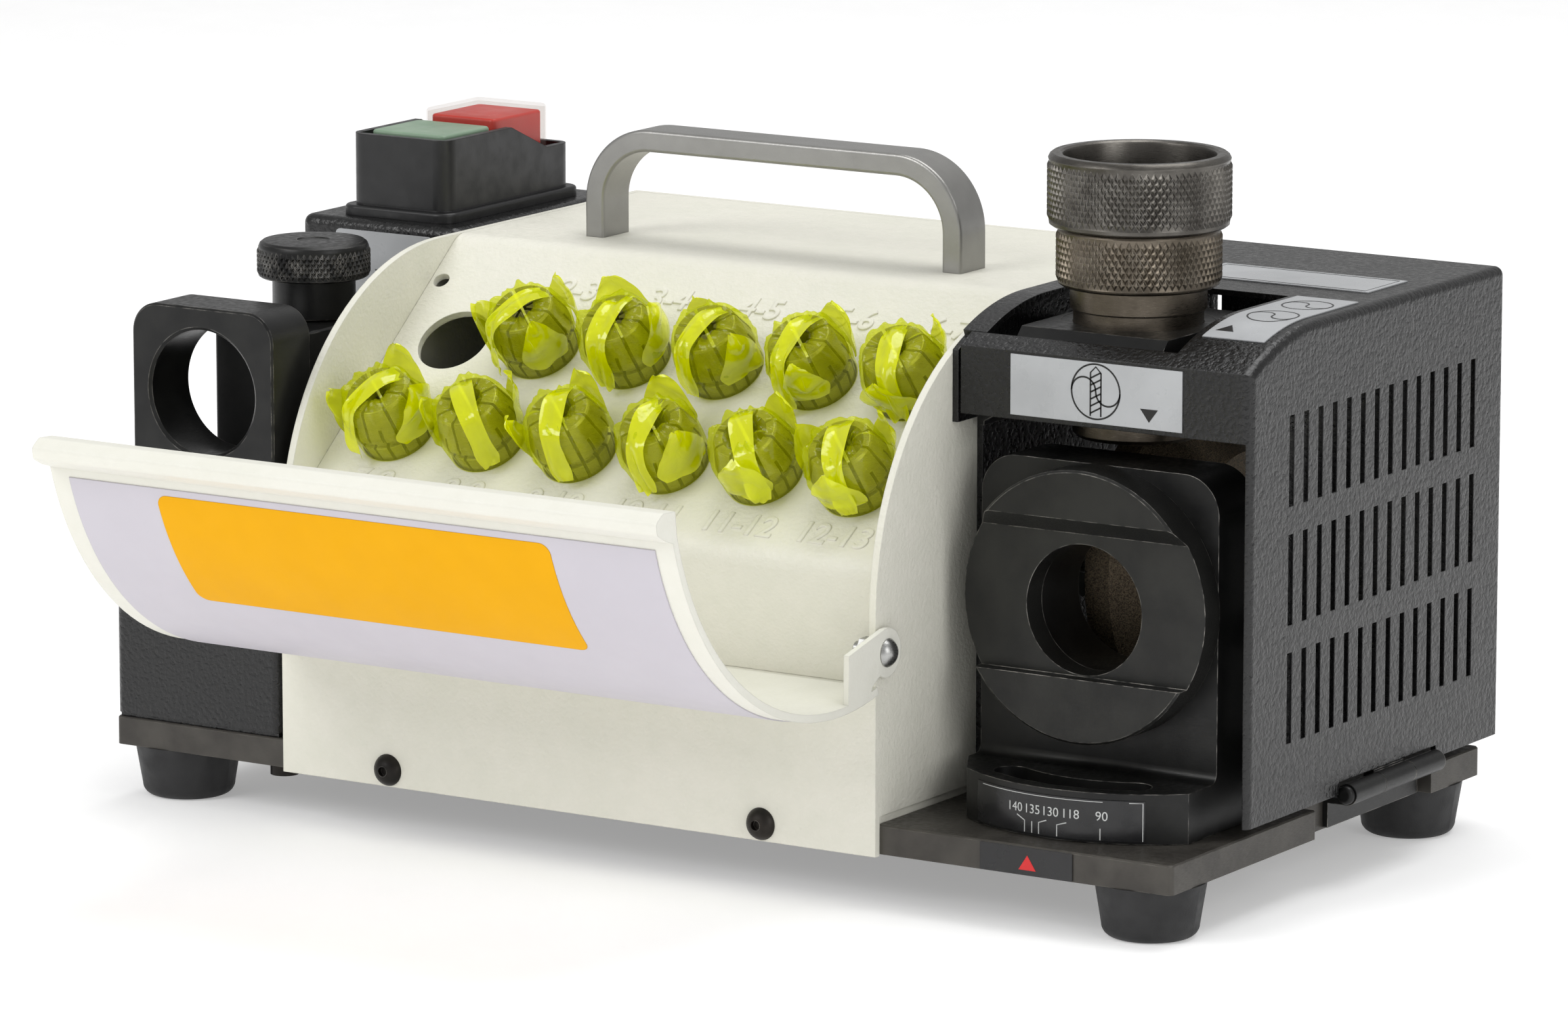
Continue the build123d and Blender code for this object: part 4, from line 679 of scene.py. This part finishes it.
# ---- film wraps on the collets ---------------------------------------------------
def film_point(spot, x, y, height):
    """A point of a collet's film, in the tray's directions, kept under the shut lid."""
    at = on_tray(spot[0] + x, spot[1] + y, height)
    away = Vector((at.y - SHUT_LID_AXIS[0], at.z - SHUT_LID_AXIS[1]))
    if away.length > SHUT_LID_R:
        away *= SHUT_LID_R / away.length
    return Vector((at.x, SHUT_LID_AXIS[0] + away.x, SHUT_LID_AXIS[1] + away.y))


def along(points, share):
    """A point part of the way along a smooth line through some points."""
    last = len(points) - 1
    k = min(int(share * last), last - 1)
    t = share * last - k
    found = []
    for a, b, c, d in zip(points[max(k - 1, 0)], points[k], points[k + 1], points[min(k + 2, last)]):
        turn = 2 * a - 5 * b + 4 * c - d
        found.append(b + t * ((c - a) + t * (turn + t * (3 * (b - c) + d - a))) / 2)
    return found


def make_skin(node, spot, seed):
    """The film drawn tight round a collet, and creased towards the middle of its end."""
    rng = random.Random(seed)
    around, up = 144, 40
    shift = Vector((rng.uniform(-50, 50), rng.uniform(-50, 50), 0))
    pleats = [(rng.uniform(0, 2 * math.pi), rng.uniform(0.5, 1.3) * MM) for _ in range(PLEATS)]
    bm = bmesh.new()
    rows = []
    for j in range(up + 1):
        share = j / up
        reach, rise = along(FILM_PROFILE, share)
        loose = min(max(share - 0.35, 0) * 3, 1)
        row = []
        for i in range(around):
            angle = 2 * math.pi * i / around
            compass = Vector((math.cos(angle), math.sin(angle), share * 1.2))
            crease = 1 - abs(noise.noise(compass * 2.6 + shift)) * 4
            fold = 0.0
            for where, size in pleats:
                away = (angle - where + math.pi + share) % (2 * math.pi) - math.pi
                fold += size * max(1 - abs(away) / 0.16, 0)
            radius = reach * MM + (max(crease, 0) * 0.45 * MM + fold * 0.5) * min(share * 4, 1)
            height = rise * MM + (crease * 0.5 * MM + fold) * loose
            row.append(bm.verts.new(film_point(
                spot, radius * math.cos(angle), radius * math.sin(angle), height,
            )))
        rows.append(row)
    for low, high in zip(rows, rows[1:]):
        for i in range(around):
            n = (i + 1) % around
            bm.faces.new((low[i], low[n], high[n], high[i]))
    area = sum(face.calc_area() for face in bm.faces)
    made = piece("film_wrap_" + node[7:], bm, node + "_body", YELLOW_FILM, smooth=30)
    return made, area


def add_flap(bm, spot, rng, heading, line, bend):
    """A loose stretch of film: a ribbon of (out, up, half width) points, bent round the collet."""
    out = Vector((math.cos(heading), math.sin(heading)))
    side = Vector((-out.y, out.x))
    steps, across = 26, 12
    shift = Vector((rng.uniform(-50, 50), rng.uniform(-50, 50), 0))
    rows = []
    for i in range(steps + 1):
        reach, rise, half = (value * MM for value in along(line, i / steps))
        row = []
        for j in range(across + 1):
            w = (j / across * 2 - 1) * half
            wave = noise.noise(Vector((i / steps * 2.4, j / across * 1.7, 0)) + shift)
            crease = abs(wave) * 2.2 * MM
            at = out * (reach + crease - bend * w * w / (2 * COLLET_R)) + side * w
            row.append(bm.verts.new(film_point(spot, at.x, at.y, rise + wave * 1.4 * MM)))
        rows.append(row)
    for low, high in zip(rows, rows[1:]):
        for j in range(across):
            bm.faces.new((low[j], low[j + 1], high[j + 1], high[j]))


def make_flaps(node, spot, seed):
    """The folded corners of the film bag, two layers thick, and so brighter."""
    rng = random.Random(seed + 100)
    bm = bmesh.new()
    start = rng.uniform(0, 2 * math.pi)
    for k in range(rng.choice((2, 2, 3))):
        tall = rng.uniform(0.75, 1.0)
        wide = rng.uniform(0.75, 1.15)
        corner = [(out, up * tall if up > 8 else up, half * wide) for out, up, half in FILM_CORNER]
        add_flap(bm, spot, rng, start + k * 2.2 + rng.uniform(-0.4, 0.4), corner, 1.0)
    add_flap(bm, spot, rng, rng.uniform(-2.3, -0.8), FILM_STRIP, 0.25)
    area = sum(face.calc_area() for face in bm.faces)
    name = "film_flaps_" + node[7:]
    return piece(name, bm, node + "_body", FOLDED_FILM, smooth=40), area


def make_wraps():
    for row, first, size, count in COLLET_ROWS:
        for k in range(count):
            node = f"collet_{size + k:02d}_{size + k + 1:02d}"
            spot = (HOLE_X0 + (first + k) * HOLE_PITCH, row)
            skin, skin_area = make_skin(node, spot, size + k)
            flaps, flap_area = make_flaps(node, spot, size + k)


# ---- prints ------------------------------------------------------------------------
def make_lid_print():
    """The plain yellow panel on the lid's label: no name on it."""
    start, end = LID_PANEL_TURN
    length = (end - start) / 180 * math.pi * LID_R
    faces = []
    for quad in grid(*LID_PANEL_X, 0.0, length, 40, 20, corner=3 * MM):
        faces.append([(u, math.radians(end) - v / LID_R) for u, v in quad])

    def place(x, turn, height):
        return on_lid(x, turn, LABEL_T + height)

    print_on("lid_yellow_panel", faces, place, "lid", YELLOW_PRINT)


def make_tray_numbers():
    """The stamped collet sizes, below the lower row and above the upper one."""
    for row, first, size, count in COLLET_ROWS:
        slope = STAMP_BELOW if row == ROW_LOW else STAMP_ABOVE
        for k in range(count):
            text = f"{size + k}-{size + k + 1}"
            at = (HOLE_X0 + (first + k) * HOLE_PITCH, slope)
            number(
                "tray_number_" + text.replace("-", "_"), text, 6.6 * MM, at, on_tray, "base",
                "white_paint", WHITE_PAINT, slant=0.12, thickness=0.5 * MM, bevel=0.16 * MM,
            )


def make_scale_print():
    """The point angles and their marks on the swivel scale."""
    low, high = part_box("angle_scale")
    foot = low.z + 0.3 * MM

    def flat_scale(u, z, height):
        return on_scale(math.degrees(u / SCALE_R), z, height)

    for text, turn in SCALE_NUMBERS:
        at = (math.radians(turn) * SCALE_R, low.z + 6.2 * MM)
        number(
            "scale_number_" + text, text, 2.3 * MM, at, flat_scale, "port", "scale_film", WHITE_PRINT,
        )
    faces = []
    for turn, across, rise in SCALE_MARKS:
        u = math.radians(turn) * SCALE_R
        points = [(u, foot), (u, foot + 2.9 * MM)]
        if across:
            points.append((u + across * MM, foot + (2.9 + rise) * MM))
        faces += stroke(points, 0.28 * MM)
    right = math.radians(29.4) * SCALE_R
    left = math.radians(-25) * SCALE_R
    top = high.z - 0.5 * MM
    faces += stroke([(right - 3.4 * MM, top), (right, top), (right, foot)], 0.22 * MM)
    steps = 12
    line = [(left + (right - 10 * MM - left) * i / steps, top) for i in range(steps + 1)]
    faces += stroke(line, 0.16 * MM)
    print_on("scale_marks", faces, flat_scale, "port", WHITE_PRINT)


def make_pointer():
    """The red pointer on the plate's front edge."""
    low, high = 15.4 * MM, 19.2 * MM
    half = 2.5 * MM
    print_on(
        "plate_pointer_film", grid(105.8 * MM, 132.2 * MM, 14.1 * MM, 21.2 * MM, 8, 2, 0.3 * MM),
        on_front(PLATE_STICKER_Y), "base", SCALE_FILM,
    )
    print_on(
        "plate_pointer", [((POINTER_X - half, low), (POINTER_X + half, low), (POINTER_X, high))],
        on_front(PLATE_STICKER_Y - INK), "base", RED_PRINT,
    )


def point_sign(u, v, radius):
    """A circle with the two lips of a drill point in it."""
    lines = stroke(circle(u, v, radius), SIGN_LINE, closed=True)
    half = radius / 2
    wave = arc(u - half, v, half, 180, 0) + arc(u + half, v, half, 180, 360)[1:]
    return lines + stroke(wave, SIGN_LINE)


def make_guard_prints():
    """Line drawings on the guard's labels, with no words."""
    u, v, radius = STRIP_SIGN
    faces = point_sign(u, v, radius)
    side = 1.5 * MM
    tall = 6.2 * MM
    outline = [
        (u - side, v - tall), (u - side, v + tall - side), (u, v + tall), (u + side, v + tall - side),
        (u + side, v - tall),
    ]
    faces += stroke(outline, LINE)
    hatches = 6
    for k in range(hatches):
        start = v - tall + 2 * tall * (k + 0.4) / hatches * 0.85
        faces += stroke([(u - side, start), (u + side, start + 1.6 * MM)], LINE)
    print_on("strip_drawing", faces, on_front(STRIP_LABEL_Y), "cover", BLACK_PRINT)
    print_on(
        "strip_arrow",
        [((131.0 * MM, 126.7 * MM), (133.5 * MM, 123.4 * MM), (136.0 * MM, 126.7 * MM))],
        on_front(STRIP_LABEL_Y), "cover", BLACK_PRINT,
    )

    def on_label(x, y, height):
        return on_guard(x, y, LABEL_T + height)

    for name, y in TOP_SIGN_Y:
        print_on(
            f"top_drawing_{name}", point_sign(TOP_SIGN_X, y * MM, TOP_SIGN_R), on_label, "cover",
            BLACK_PRINT,
        )
    print_on(
        "top_arrow", [((142.2 * MM, -29.5 * MM), (147.2 * MM, -29.5 * MM), (144.7 * MM, -25.5 * MM))],
        on_label, "cover", BLACK_PRINT,
    )
    border = [(x * MM, y * MM) for x, y in REAR_LABEL_BORDER]
    print_on(
        "rear_label_border", stroke(border, 0.35 * MM, closed=True),
        on_label, "cover", BLACK_PRINT,
    )


def make_dial_print():
    """The arrow on the switch box's label."""
    print_on(
        "dial_arrow",
        [((-133.2 * MM, 131.5 * MM), (-130.7 * MM, 127.2 * MM), (-128.2 * MM, 131.5 * MM))],
        on_front(DIAL_STICKER_Y), "base", BLACK_PRINT,
    )


# ---- camera, floor and light ---------------------------------------------------------
def make_camera():
    data = bpy.data.cameras.new("camera")
    data.lens = CAMERA_LENS
    data.sensor_width = 36
    data.clip_start = 0.05
    data.clip_end = 60
    camera = bpy.data.objects.new("camera", data)
    camera.location = CAMERA_AT
    camera.rotation_euler = (math.radians(90 - CAMERA_PITCH), 0, math.radians(CAMERA_YAW))
    bpy.context.scene.collection.objects.link(camera)
    bpy.context.scene.camera = camera


def make_floor():
    bm = bmesh.new()
    bmesh.ops.create_grid(bm, x_segments=2, y_segments=2, size=6)
    mesh = bpy.data.meshes.new("floor")
    bm.to_mesh(mesh)
    bm.free()
    floor = bpy.data.objects.new("floor", mesh)
    bpy.context.scene.collection.objects.link(floor)
    paper = paint(
        "floor_paper", srgb(236, 236, 236), srgb(240, 240, 240), 3 * MM, 0.01 * MM, (0.85, 0.95),
        rounding=None, Emission_Color=(1, 1, 1, 1), Emission_Strength=0.3,
    )
    dress(floor, paper)


def soft_box(name, at, size, power):
    data = bpy.data.lights.new(name, "AREA")
    data.shape = "RECTANGLE"
    data.size, data.size_y = size
    data.energy = power
    light = bpy.data.objects.new(name, data)
    light.location = at
    light.rotation_euler = (Vector((0, 0, 0.08)) - Vector(at)).to_track_quat("-Z", "Y").to_euler()
    bpy.context.scene.collection.objects.link(light)


def make_light():
    world = bpy.data.worlds.new("studio")
    world.use_nodes = True
    world.node_tree.nodes["Background"].inputs["Color"].default_value = (1, 1, 1, 1)
    world.node_tree.nodes["Background"].inputs["Strength"].default_value = 0.5
    bpy.context.scene.world = world
    soft_box("key", (-0.9, -1.9, 1.5), (1.2, 1.2), 22)
    soft_box("fill", (2.0, -0.7, 0.9), (1.0, 1.4), 10)
    soft_box("top", (0.2, 0.5, 1.9), (1.6, 1.2), 20)


make_camera()
make_floor()
make_light()
make_chuck()
make_stop_knob()
make_wraps()
make_lid_print()
make_tray_numbers()
make_scale_print()
make_pointer()
make_guard_prints()
make_dial_print()

bpy.context.scene.view_settings.view_transform = "Standard"
